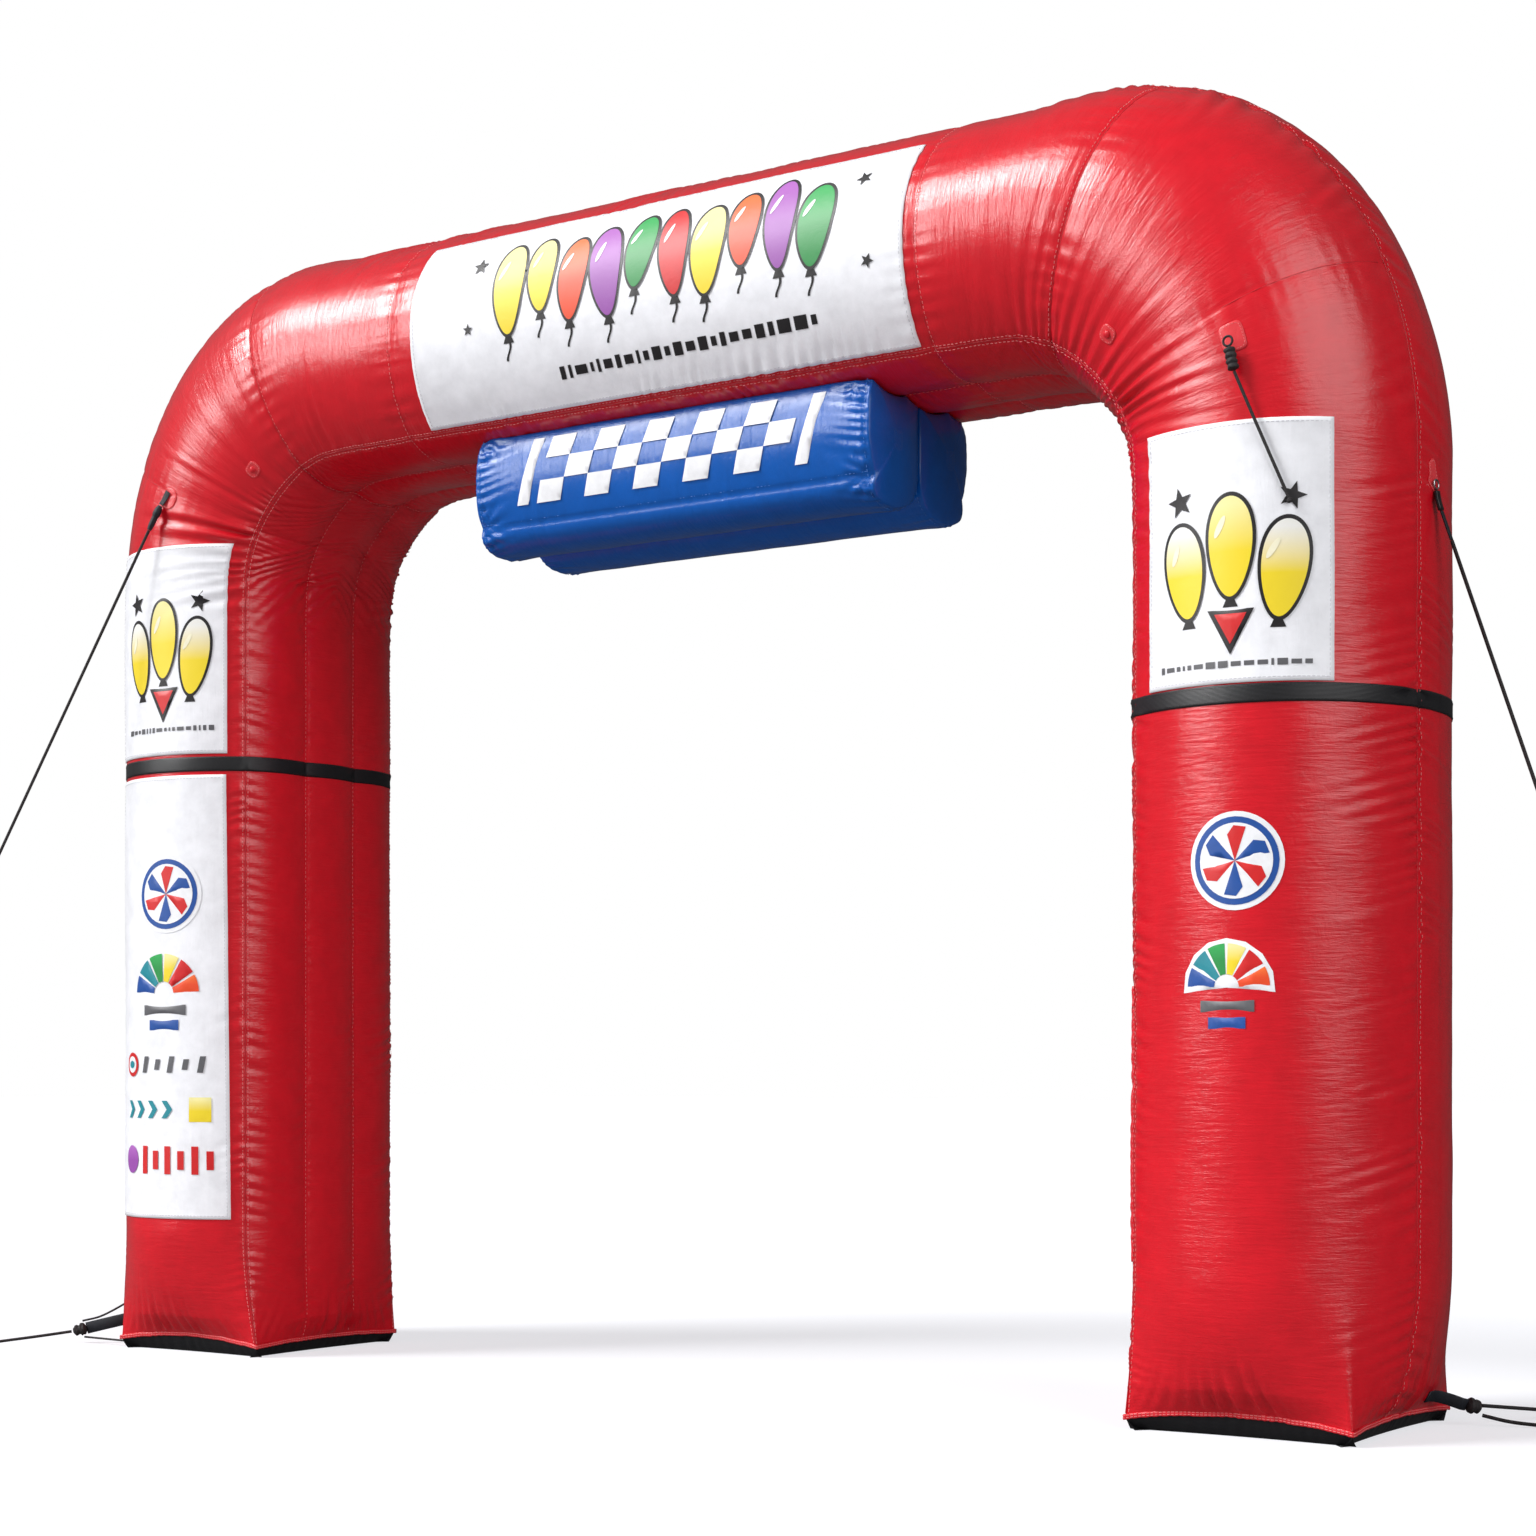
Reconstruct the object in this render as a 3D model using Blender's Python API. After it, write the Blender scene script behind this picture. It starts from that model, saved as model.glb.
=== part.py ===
"""Inflatable arch: an air-filled tube of coated fabric on two legs, with sewn-on banners,
a hanging sign of two air-filled blocks, black bands, base panels and guy ropes.

Metres, +Z up. The arch stands on Z = 0, spans X, and its front looks along -Y.
Every cut, sewn or fitted piece is one object, named as its node.
"""
import math

import bmesh
import bpy
from mathutils import Vector
from mathutils.bvhtree import BVHTree

# ---------------------------------------------------------------- driving sizes
ARCH_WIDTH = 6.0            # outer face to outer face
ARCH_HEIGHT = 4.70
TUBE_OUT = 0.5175           # tube middle to its outer face
TUBE_IN = 0.388             # tube middle to the plane of the two inner seams
TUBE_HALF_DEPTH = 0.598
SEAM_HALF_DEPTH = 0.4575    # inner seams, front and back of the middle
OUTER_POWER = 2.04          # roundness of the tube, 2 is an ellipse
LOBE_COUNT = 3              # sewn channels on the face towards the passage
LOBE_RISE = 0.028
CHANNEL_OUT = 0.446         # tube middle to its face towards the passage, between the lobes
CHANNEL_POWER = 2.5         # how late that face falls away to its seams
INNER_BEND_RADIUS = 0.472   # of the inner seams
SWELL_OUT = 0.080           # fullness of the bends on their outer side
SWELL_IN = 0.038            # and on the side towards the passage

GAP = 0.0005                # between pieces that meet
SEW_GAP = 0.0008            # under a sheet that is sewn flat to the tube
SHEET = 0.0025

# base: the tube flares into a box with four pointed corners
BASE_OUT = 0.389
BASE_IN = 0.432
BASE_HALF_DEPTH = 0.4386
RIM_Z = 0.045
FLARE_HEIGHT = 0.50
RIM_RISE_FRONT = 0.032
RIM_RISE_SIDE = 0.014
RIM_DRAWN_IN = 0.020
BASE_BULGE = 0.022
PLEAT_DEPTH = 0.007
OUTER_SIDE_PLEATS = 0.4
BINDING_HALF = 0.009
BINDING_THICK = 0.006
PANEL_DRAWN_IN = 0.034

# points round the tube: outer seam, front, front inner seam, lobes, and mirrored back
OUTER_STEPS = 10
INNER_STEPS = 6
LOBE_STEPS = 6
CORNER_INDEX = 5            # becomes the front outer corner of the base

SEAM_FRONT = OUTER_STEPS + INNER_STEPS
SEAM_BACK = SEAM_FRONT + LOBE_COUNT * LOBE_STEPS
ROUND = SEAM_BACK + SEAM_FRONT
CORNER_BACK = ROUND - CORNER_INDEX

BEND_STEPS = 14
LEG_X = ARCH_WIDTH / 2 - TUBE_OUT
BEAM_Z = ARCH_HEIGHT - TUBE_OUT
BEND_RADIUS = INNER_BEND_RADIUS + TUBE_IN
BEND_X = LEG_X - BEND_RADIUS
BEND_Z = BEAM_Z - BEND_RADIUS

RING_PINCH = 0.010
MITRE_PINCH = 0.012
CREASE_DEPTH = 0.006

# leg stations above the rim: height over the rim, depth of the pleats there
FLARE_STATIONS = (
    {"rise": 0.012, "pleat": 0.0},
    {"rise": 0.045, "pleat": 1.0},
    {"rise": 0.100, "pleat": 0.7},
    {"rise": 0.170, "pleat": 0.35},
    {"rise": 0.250, "pleat": 0.0},
    {"rise": 0.360, "pleat": 0.0},
    {"rise": FLARE_HEIGHT, "pleat": 0.0},
)
LEG_STATIONS = (1.10, 1.70, 2.30, 2.80)
MITRE_BELOW_BEND = 0.08

# bend stations that carry a seam: step of the bend, ring seam, seam over the lobes only
BEND_SEAMS = {
    2: {"ring": 0.0, "mitre": 0.7},
    4: {"ring": 0.35, "mitre": 1.0},
    8: {"ring": 0.0, "mitre": 0.7},
    11: {"ring": 1.0, "mitre": 1.0},
}

# banners: place along the tube and reach round it, as distances from the tube's middle
BEAM_BANNER = {"low_x": -1.038, "high_x": 1.258, "inner": -0.372, "outer": 0.360}
BEAM_RING_SEAMS = (-1.16, 1.30)
RING_HALF = 0.04
LEG_BANNERS = (
    {"name": "banner_leg_right", "side": 1, "low_z": 2.497, "high_z": 3.355,
     "inner": -0.295, "outer": 0.333, "low_inner": -0.295, "low_outer": 0.333},
    {"name": "banner_leg_left_upper", "side": -1, "low_z": 2.575, "high_z": 3.470,
     "inner": -0.327, "outer": 0.325, "low_inner": -0.327, "low_outer": 0.325},
    {"name": "banner_leg_left_lower", "side": -1, "low_z": 0.590, "high_z": 2.485,
     "inner": -0.323, "outer": 0.360, "low_inner": -0.340, "low_outer": 0.392},
)
BANNER_LIFT = 0.0015
BEND_ROW = 0.03
TAPER_ROWS = 6
EDGE_STEP = 0.12            # least step between a banner's edge and its next point
BANDS = (
    {"name": "band_right", "side": 1, "low_z": 2.430, "high_z": 2.492},
    {"name": "band_left", "side": -1, "low_z": 2.500, "high_z": 2.562},
)

# zip cover on the right leg's inner face, beside the front seam
ZIP_SIDE = 1
ZIP_GIRTH = (0.25, 2.1)     # steps round the tube from the front inner seam
ZIP_PATCH_GIRTH = (0.2, 2.3)
ZIP_LOW = 0.650
ZIP_HIGH = 1.440
ZIP_PATCH = 0.075
ZIP_THICK = 0.004

# sign: two equal blocks under the beam
SIGN_MIDDLE_X = 0.081
SIGN_LENGTH = 1.84
SIGN_FRONT_Y = -0.395
SIGN_BACK_Y = 0.265
SIGN_MIDDLE_Y = -0.065       # of the groove between the blocks
SIGN_GROOVE_Y = 0.006
SIGN_SEAM_Z = 3.400
SIGN_BOTTOM_Z = 3.294
SIGN_FACE_CROWN = 0.032
SIGN_FACE_STEPS = 6
SIGN_BOTTOM_STEPS = 8
SIGN_SIDE_STEPS = 3
SIGN_END_LOOPS = (
    {"scale": 0.96, "out": 0.008},
    {"scale": 0.82, "out": 0.021},
    {"scale": 0.52, "out": 0.031},
    {"scale": 0.20, "out": 0.035},
)

# reinforcing patches: bend angle or height, steps round the tube, half sizes
PATCHES = (
    {"name": "patch_button_right", "side": 1, "angle": 44.0, "girth": 13.75, "half": (0.028, 0.048)},
    {"name": "patch_button_left", "side": -1, "angle": 51.0, "girth": 14.05, "half": (0.028, 0.048)},
    {"name": "patch_rope_front_right", "side": 1, "angle": 19.0, "girth": 9.0, "half": (0.040, 0.045)},
    {"name": "patch_rope_left", "side": -1, "angle": 24.0, "girth": 10.0, "half": (0.040, 0.045)},
    {"name": "patch_rope_outer_right", "side": 1, "height": 3.217, "girth": 0.60, "half": (0.030, 0.055)},
)
PATCH_POWER = 3.0
PATCH_POINTS = 16
PATCH_LIFT = 0.0015
PATCH_THICK = 0.003
BUTTON_RADIUS = 0.013
BUTTON_RISE = 0.009
BUTTON_LIFT = 0.0015

# webbing: route of its middle line, width, thickness and the direction of its width
STRAPS = (
    {"name": "webbing_left", "width": 0.030, "thick": 0.0025, "across": (1, 0, 0),
     "route": ((-2.405, -0.6055, 3.700), (-2.425, -0.6068, 3.672), (-2.4395, -0.6145, 3.6475))},
    {"name": "strap_outer_right", "width": 0.024, "thick": 0.006, "across": (0, 1, 0),
     "route": ((3.0235, -0.0410, 3.0965), (3.0368, -0.0363, 3.0535), (3.0540, -0.0303, 2.9980))},
    {"name": "buckle_outer_right", "width": 0.034, "thick": 0.011, "across": (0, 1, 0),
     "route": ((3.0105, -0.0510, 3.163), (3.0140, -0.0470, 3.135), (3.0225, -0.0425, 3.0985))},
    {"name": "strap_base_left", "width": 0.052, "thick": 0.008, "across": (0, 0, 1),
     "route": ((-2.9220, -0.215, 0.136), (-2.929, -0.262, 0.126), (-3.020, -0.330, 0.100),
               (-3.1435, -0.394, 0.0665))},
    {"name": "strap_base_right", "width": 0.044, "thick": 0.006, "across": (0.5, 0, 0.87),
     "route": ((2.8980, 0.165, 0.108), (2.8970, 0.215, 0.107), (2.9040, 0.240, 0.104),
               (2.9270, 0.262, 0.096), (2.9550, 0.274, 0.0865), (2.9758, 0.2866, 0.0778),
               (2.9872, 0.3010, 0.0743))},
)

# lashings and knots: round pieces from start to end, rows of share of the length and radius
WOUND = ((0.0, 0.009), (0.06, 0.017), (0.18, 0.0195), (0.32, 0.015), (0.36, 0.015),
         (0.50, 0.020), (0.64, 0.015), (0.68, 0.015), (0.82, 0.0195), (0.94, 0.016), (1.0, 0.009))
SLEEVE = ((0.0, 0.008), (0.12, 0.014), (0.30, 0.017), (0.50, 0.015), (0.80, 0.013), (1.0, 0.009))
BIG_KNOT = ((0.0, 0.014), (0.15, 0.026), (0.40, 0.028), (0.52, 0.021), (0.62, 0.021),
            (0.80, 0.024), (1.0, 0.012))
SMALL_KNOT = ((0.0, 0.007), (0.25, 0.0105), (0.75, 0.0105), (1.0, 0.007))
KNOTS = (
    {"name": "lashing_left", "start": (-2.441, -0.6165, 3.643),
     "end": (-2.4871, -0.638, 3.5398), "profile": SLEEVE},
    {"name": "lashing_front_right", "start": (2.519, -0.6245, 3.590),
     "end": (2.536, -0.6245, 3.5135), "profile": WOUND},
    {"name": "knot_base_left", "start": (-3.1445, -0.3950, 0.0660),
     "end": (-3.190, -0.430, 0.0530), "profile": BIG_KNOT},
    {"name": "knot_base_right", "start": (2.9880, 0.3020, 0.0740),
     "end": (3.0205, 0.3430, 0.0640), "profile": BIG_KNOT},
    {"name": "knot_front_right_end", "start": (2.7025, -0.5620, 3.0875),
     "end": (2.7075, -0.5610, 3.0730), "profile": SMALL_KNOT},
)

# guy ropes: radius, spacing of the points on a curve, and route from fitting to end eye
ROPE_R = 0.0065
THIN_R = 0.0045
ROPES = (
    {"name": "rope_left", "radius": ROPE_R, "spacing": 0.6,
     "route": ((-2.4875, -0.6382, 3.5388), (-3.184, -0.963, 1.980))},
    {"name": "rope_front_right", "radius": 0.0055, "spacing": 0.1,
     "route": ((2.5375, -0.6245, 3.5095), (2.578, -0.6110, 3.405), (2.620, -0.5960, 3.298),
               (2.662, -0.5800, 3.191), (2.7020, -0.5625, 3.0885))},
    {"name": "rope_outer_right", "radius": ROPE_R, "spacing": 0.6,
     "route": ((3.0548, -0.0300, 2.9955), (3.3368, 0.0686, 2.0866))},
    {"name": "rope_base_left", "radius": ROPE_R, "spacing": 0.04,
     "route": ((-3.1945, -0.4375, 0.0520), (-3.280, -0.555, 0.035), (-3.375, -0.691, 0.018),
               (-3.410, -0.800, 0.0085))},
    {"name": "rope_base_right_upper", "radius": ROPE_R, "spacing": 0.4,
     "route": ((3.0250, 0.3490, 0.0690), (3.1575, 0.6160, 0.0352))},
    {"name": "rope_base_right_lower", "radius": ROPE_R, "spacing": 0.04,
     "route": ((3.0275, 0.3440, 0.0360), (3.120, 0.3660, 0.0175), (3.2303, 0.3940, 0.0085))},
    {"name": "cord_base_left_upper", "radius": THIN_R, "spacing": 0.03,
     "route": ((-3.160, -0.405, 0.0985), (-3.0925, -0.340, 0.1240), (-3.020, -0.220, 0.200),
               (-2.966, -0.130, 0.285))},
    {"name": "cord_base_left_lower", "radius": THIN_R, "spacing": 0.05,
     "route": ((-3.150, -0.400, 0.0270), (-2.892, -0.400, 0.0240))},
)

# end eyes: the rope they end, the direction they face, ring and cord radius
EYES = (
    {"name": "eye_left", "rope": "rope_left", "flat": (0.9, 0, -0.4), "ring": 0.028},
    {"name": "eye_outer_right", "rope": "rope_outer_right", "flat": (0, 1, 0.1), "ring": 0.028},
    {"name": "eye_base_left", "rope": "rope_base_left", "flat": (0, 0, 1), "ring": 0.028},
    {"name": "eye_base_right_upper", "rope": "rope_base_right_upper", "flat": (0, 0, 1), "ring": 0.028},
    {"name": "eye_base_right_lower", "rope": "rope_base_right_lower", "flat": (0, 0, 1), "ring": 0.028},
)
LOOPS = (
    {"name": "loop_front_right", "end": (2.519, -0.6245, 3.5910), "along": (-0.20, 0.0, 1.0),
     "flat": (0, 1, 0), "ring": 0.016, "radius": 0.004},
    {"name": "loop_outer_right", "end": (3.0102, -0.0512, 3.1645), "along": (-0.05, -0.10, 1.0),
     "flat": (1.0, -0.1, 0), "ring": 0.016, "radius": 0.0035},
)

RED = (0.62, 0.012, 0.018)
BRIGHT_RED = (0.70, 0.03, 0.03)
WHITE = (0.86, 0.86, 0.87)
BLACK = (0.012, 0.012, 0.014)
BLUE = (0.012, 0.085, 0.42)


# ---------------------------------------------------------------- helpers
def make_material(name, colour, roughness):
    material = bpy.data.materials.new(name)
    material.use_nodes = True
    shader = material.node_tree.nodes["Principled BSDF"]
    shader.inputs["Base Color"].default_value = (*colour, 1.0)
    shader.inputs["Roughness"].default_value = roughness
    shader.inputs["Metallic"].default_value = 0.0
    material.diffuse_color = (*colour, 1.0)
    return material


def make_object(name, points, faces, colour, roughness, sharp_deg=40):
    mesh = bpy.data.meshes.new(name)
    mesh.from_pydata([tuple(p) for p in points], [], faces)
    mesh.update()
    mesh.shade_smooth()
    mesh.set_sharp_from_angle(angle=math.radians(sharp_deg))
    mesh.materials.append(make_material(name, colour, roughness))
    result = bpy.data.objects.new(name, mesh)
    bpy.context.scene.collection.objects.link(result)
    return result


def closed_faces(rows, columns, start=0, flip=False):
    """Quads of a tube of rows rings, each of columns points."""
    faces = []
    for row in range(rows - 1):
        for column in range(columns):
            after = (column + 1) % columns
            low = start + row * columns
            high = low + columns
            quad = (low + column, low + after, high + after, high + column)
            faces.append(quad[::-1] if flip else quad)
    return faces


def fan_faces(ring, centre, flip=False):
    count = len(ring)
    faces = []
    for index in range(count):
        triangle = (centre, ring[(index + 1) % count], ring[index])
        faces.append(triangle[::-1] if flip else triangle)
    return faces


# ---------------------------------------------------------------- tube section
def outer_half(step):
    """Point (outward, depth) on the front of the tube, step 0 at the outer seam."""
    if step <= OUTER_STEPS:
        angle = math.pi / 2 * step / OUTER_STEPS
        reach = TUBE_OUT
    else:
        share = 1 - (SEAM_HALF_DEPTH / TUBE_HALF_DEPTH) ** OUTER_POWER
        reach = TUBE_IN / share ** (1 / OUTER_POWER)
        last = math.asin((TUBE_IN / reach) ** (OUTER_POWER / 2))
        angle = math.pi / 2 + last * (step - OUTER_STEPS) / INNER_STEPS
    cosine = math.cos(angle)
    out = reach * math.copysign(abs(cosine) ** (2 / OUTER_POWER), cosine)
    return out, -TUBE_HALF_DEPTH * abs(math.sin(angle)) ** (2 / OUTER_POWER)


def lobe_point(step):
    """Point on the face towards the passage, step 0 at the front inner seam."""
    share = step / LOBE_STEPS % 1.0
    bulge = LOBE_RISE * math.sin(math.pi * share) ** 0.8 if share else 0.0
    depth = -SEAM_HALF_DEPTH + 2 * SEAM_HALF_DEPTH * step / (LOBE_COUNT * LOBE_STEPS)
    fall = (CHANNEL_OUT - TUBE_IN) * (abs(depth) / SEAM_HALF_DEPTH) ** CHANNEL_POWER
    return -CHANNEL_OUT + fall - bulge, depth


def tube_section():
    front = [outer_half(step) for step in range(SEAM_FRONT + 1)]
    inner = [lobe_point(step) for step in range(1, LOBE_COUNT * LOBE_STEPS)]
    back = [(out, -depth) for out, depth in reversed(front[1:])]
    return front + inner + back


def base_side(index):
    """Place of a point on the base outline: its side, share along it, and the corner points."""
    front_outer = (BASE_OUT, -BASE_HALF_DEPTH)
    front_inner = (-BASE_IN, -BASE_HALF_DEPTH)
    back_inner = (-BASE_IN, BASE_HALF_DEPTH)
    back_outer = (BASE_OUT, BASE_HALF_DEPTH)
    if CORNER_INDEX <= index < SEAM_FRONT:
        return "front", (index - CORNER_INDEX) / (SEAM_FRONT - CORNER_INDEX), front_outer, front_inner
    if SEAM_FRONT <= index < SEAM_BACK:
        return "inner", (index - SEAM_FRONT) / (SEAM_BACK - SEAM_FRONT), front_inner, back_inner
    if SEAM_BACK <= index < CORNER_BACK:
        return "back", (index - SEAM_BACK) / (CORNER_BACK - SEAM_BACK), back_inner, back_outer
    steps = 2 * CORNER_INDEX
    share = ((index - CORNER_BACK) % ROUND) / steps
    return "outer", share, back_outer, front_outer


SIDE_NORMALS = {"front": (0, -1), "inner": (-1, 0), "back": (0, 1), "outer": (1, 0)}


def base_point(index, push):
    """Point of the base outline, its sides pushed out by push between the corners."""
    side, share, start, end = base_side(index)
    swell = push * math.sin(math.pi * share)
    normal = SIDE_NORMALS[side]
    return (start[0] + (end[0] - start[0]) * share + normal[0] * swell,
            start[1] + (end[1] - start[1]) * share + normal[1] * swell)


def rim_rise(index):
    side, share, _, _ = base_side(index)
    rise = RIM_RISE_FRONT if side in ("front", "back") else RIM_RISE_SIDE
    return rise * math.sin(math.pi * share) ** 0.8 if share else 0.0


def section_normals(section):
    normals = []
    for index in range(ROUND):
        before = section[index - 1]
        after = section[(index + 1) % ROUND]
        out, depth = after[0] - before[0], after[1] - before[1]
        length = math.hypot(out, depth)
        normals.append((-depth / length, out / length))
    return normals


SECTION = tube_section()
NORMALS = section_normals(SECTION)


def flare_section(rise, pleat):
    """Section at a height over the rim, between the base outline and the full tube."""
    share = min(rise / FLARE_HEIGHT, 1.0)
    keep = (1 - share) ** 1.7
    push = -RIM_DRAWN_IN + (RIM_DRAWN_IN + BASE_BULGE) * min(rise / 0.10, 1.0)
    result = []
    for index in range(ROUND):
        out, depth = SECTION[index]
        base_out, base_depth = base_point(index, push)
        side, along, _, _ = base_side(index)
        fold = 0.0
        if along:
            uneven = 0.65 + 0.35 * math.sin(2.3 * index)
            calm = OUTER_SIDE_PLEATS if side == "outer" else 1.0
            fold = PLEAT_DEPTH * pleat * uneven * calm * (1 if index % 2 else -1)
        normal = SIDE_NORMALS[side]
        result.append((out + (base_out - out) * keep + normal[0] * fold,
                       depth + (base_depth - depth) * keep + normal[1] * fold))
    return result


def pinched_section(ring, mitre, crease=0.0):
    """Full section drawn in at a ring seam, or over the lobes only at a mitre seam."""
    result = []
    for index, (out, depth) in enumerate(SECTION):
        on_lobes = SEAM_FRONT <= index <= SEAM_BACK
        depth_in = RING_PINCH * ring
        if on_lobes:
            depth_in = max(depth_in, MITRE_PINCH * mitre) + crease
        else:
            steps = min(abs(index - SEAM_FRONT), abs(index - SEAM_BACK))
            depth_in += crease * max(0.0, 1 - steps / 4)
        normal = NORMALS[index]
        result.append((out - normal[0] * depth_in, depth - normal[1] * depth_in))
    return result


def swell(section, angle):
    """Section with the extra fullness that the tube has at an angle of its bend."""
    degrees = math.degrees(angle)
    outer = min(max((degrees - 5) / 85, 0.0), 1.0) ** 1.5
    inner = min(max((degrees + 10) / 110, 0.0), 1.0)
    outer_scale = 1 + SWELL_OUT / TUBE_OUT * abs(math.sin(math.pi * outer)) ** 1.2
    inner_scale = 1 + SWELL_IN / TUBE_IN * abs(math.sin(math.pi * inner)) ** 1.5
    return [(out * (outer_scale if out > 0 else inner_scale), depth) for out, depth in section]


# ---------------------------------------------------------------- tube stations
def leg_ring(side, height, section, rise_share=0.0):
    return [Vector((side * (LEG_X + out), depth, height + rise_share * rim_rise(index)))
            for index, (out, depth) in enumerate(section)]


def bend_ring(side, angle, section):
    ring = []
    for out, depth in swell(section, angle):
        radius = BEND_RADIUS + out
        ring.append(Vector((side * (BEND_X + radius * math.cos(angle)), depth,
                            BEND_Z + radius * math.sin(angle))))
    return ring


def beam_ring(place, section):
    return [Vector((place, depth, BEAM_Z + out)) for out, depth in section]


def side_stations(side):
    """Rings from the base of one leg up to the end of its bend."""
    rings = [leg_ring(side, RIM_Z, flare_section(0.0, 0.0), 1.0)]
    for row in FLARE_STATIONS:
        settle = max(0.0, 1 - row["rise"] / 0.25)
        if row["rise"] <= BINDING_HALF * 2:
            section = flare_section(0.0, 0.0)
            settle = 1.0
        else:
            section = flare_section(row["rise"], row["pleat"])
        rings.append(leg_ring(side, RIM_Z + row["rise"], section, settle))
    for height in LEG_STATIONS:
        rings.append(leg_ring(side, height, SECTION))
    section = swell(pinched_section(0.0, 1.0), -MITRE_BELOW_BEND / BEND_RADIUS)
    rings.append(leg_ring(side, BEND_Z - MITRE_BELOW_BEND, section))
    for step in range(BEND_STEPS + 1):
        seam = BEND_SEAMS.get(step, {"ring": 0.0, "mitre": 0.0})
        ends = step in (0, BEND_STEPS)
        crease = 0.0 if ends or seam["mitre"] else CREASE_DEPTH * (step % 2)
        section = pinched_section(seam["ring"], seam["mitre"], crease)
        angle = math.pi / 2 * step / BEND_STEPS
        rings.append(bend_ring(side, angle, section))
    return rings


def beam_stations():
    low, high = BEAM_RING_SEAMS
    rings = []
    for place in (low - RING_HALF, low, low + RING_HALF, 0.0, high - RING_HALF, high,
                  high + RING_HALF):
        on_seam = place in BEAM_RING_SEAMS
        section = pinched_section(1.0 if on_seam else 0.0, 0.4 if on_seam else 0.0)
        rings.append(beam_ring(place, section))
    return rings


def make_tube(left, right, beam):
    """One air-filled solid, closed by a shallow cap inside each base rim."""
    rings = left + beam + right[::-1]
    points = [point for ring in rings for point in ring]
    faces = closed_faces(len(rings), ROUND)
    for row, flip in ((0, False), (len(rings) - 1, True)):
        ring = [row * ROUND + index for index in range(ROUND)]
        middle = sum((rings[row][index] for index in range(ROUND)), Vector()) / ROUND
        points.append(Vector((middle.x, 0.0, RIM_Z + RIM_RISE_FRONT)))
        faces += fan_faces(ring, len(points) - 1, flip)
    result = make_object("arch_tube", points, faces, RED, 0.32)
    make_outward(result)
    return result


# ---------------------------------------------------------------- sheets on the tube
def girth_at(out):
    """Steps round the tube where its front is a given distance out from the middle."""
    for step in range(SEAM_FRONT):
        high, low = SECTION[step][0], SECTION[step + 1][0]
        if low <= out <= high:
            return step + (high - out) / (high - low)
    raise ValueError("no such place on the section")


def ring_point(ring, girth):
    low = math.floor(girth)
    return ring[low % ROUND].lerp(ring[(low + 1) % ROUND], girth - low)


def girth_steps(start, end):
    inner = [float(step) for step in range(math.ceil(start + 0.05), math.floor(end - 0.05) + 1)]
    return [start] + inner + [end]


def ring_normals(low_ring, high_ring, girths):
    """Mitred outward directions of the tube between two rings at some places round it."""
    middle = sum(low_ring, Vector()) / len(low_ring)
    normals = []
    for girth in girths:
        here = ring_point(low_ring, girth)
        up = ring_point(high_ring, girth) - here
        first = (here - ring_point(low_ring, girth - 0.5)).cross(up).normalized()
        second = (ring_point(low_ring, girth + 0.5) - here).cross(up).normalized()
        mitre = (first + second) / (1 + first.dot(second))
        normals.append(mitre if mitre.dot(here - middle) > 0 else -mitre)
    return normals


def sheet_object(name, rows, colour, roughness, lift, thick, wrap=False):
    """Closed thin sheet over rows of (point, normal)."""
    columns = len(rows[0])
    layers = []
    for height in (lift, lift + thick):
        layers.append([point + normal * height for row in rows for point, normal in row])
    points = layers[0] + layers[1]
    shift = len(layers[0])
    faces = []
    for row in range(len(rows) - 1):
        for column in range(columns if wrap else columns - 1):
            after = (column + 1) % columns
            low, high = row * columns, (row + 1) * columns
            quad = (low + column, low + after, high + after, high + column)
            faces.append(tuple(index + shift for index in quad))
            faces.append(quad[::-1])
    last = (len(rows) - 1) * columns
    for column in range(columns if wrap else columns - 1):
        after = (column + 1) % columns
        faces.append((column, after, after + shift, column + shift))
        faces.append((last + after, last + column, last + column + shift, last + after + shift))
    if not wrap:
        for row in range(len(rows) - 1):
            low, high = row * columns, (row + 1) * columns
            faces.append((high, low, low + shift, high + shift))
            low, high = low + columns - 1, high + columns - 1
            faces.append((low, high, high + shift, low + shift))
    result = make_object(name, points, faces, colour, roughness)
    make_outward(result)
    return result


def make_outward(target):
    """Turn the faces of a closed mesh outwards."""
    form = bmesh.new()
    form.from_mesh(target.data)
    bmesh.ops.recalc_face_normals(form, faces=form.faces)
    if form.calc_volume(signed=True) < 0:
        bmesh.ops.reverse_faces(form, faces=form.faces)
    form.to_mesh(target.data)
    form.free()


def spread_girths(spans, start, end):
    """Same number of places round the tube in each row, the inner ones on its points."""
    first = math.ceil(min(span[0] for span in spans) + 0.05)
    last = math.floor(max(span[1] for span in spans) - 0.05)
    inner = [min(max(step, start + EDGE_STEP), end - EDGE_STEP) for step in range(first, last + 1)]
    return [start] + inner + [end]


def leg_row(rings, height, girths):
    """Level cut of a leg at some places round it."""
    row = []
    for girth in girths:
        line = [ring_point(ring, girth) for ring in rings]
        above = next(number for number, point in enumerate(line) if point.z > height)
        low, high = line[above - 1], line[above]
        row.append(low.lerp(high, (height - low.z) / (high.z - low.z)))
    return row


def leg_sheet_rows(rings, heights, spans):
    """Rows of (point, outward direction) of a sheet on a leg, one for each height."""
    rows = []
    for height, span in zip(heights, spans):
        girths = spread_girths(spans, *span)
        low = leg_row(rings, height, range(ROUND))
        high = leg_row(rings, height + 0.004, range(ROUND))
        rows.append(list(zip(leg_row(rings, height, girths), ring_normals(low, high, girths))))
    return rows


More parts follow.
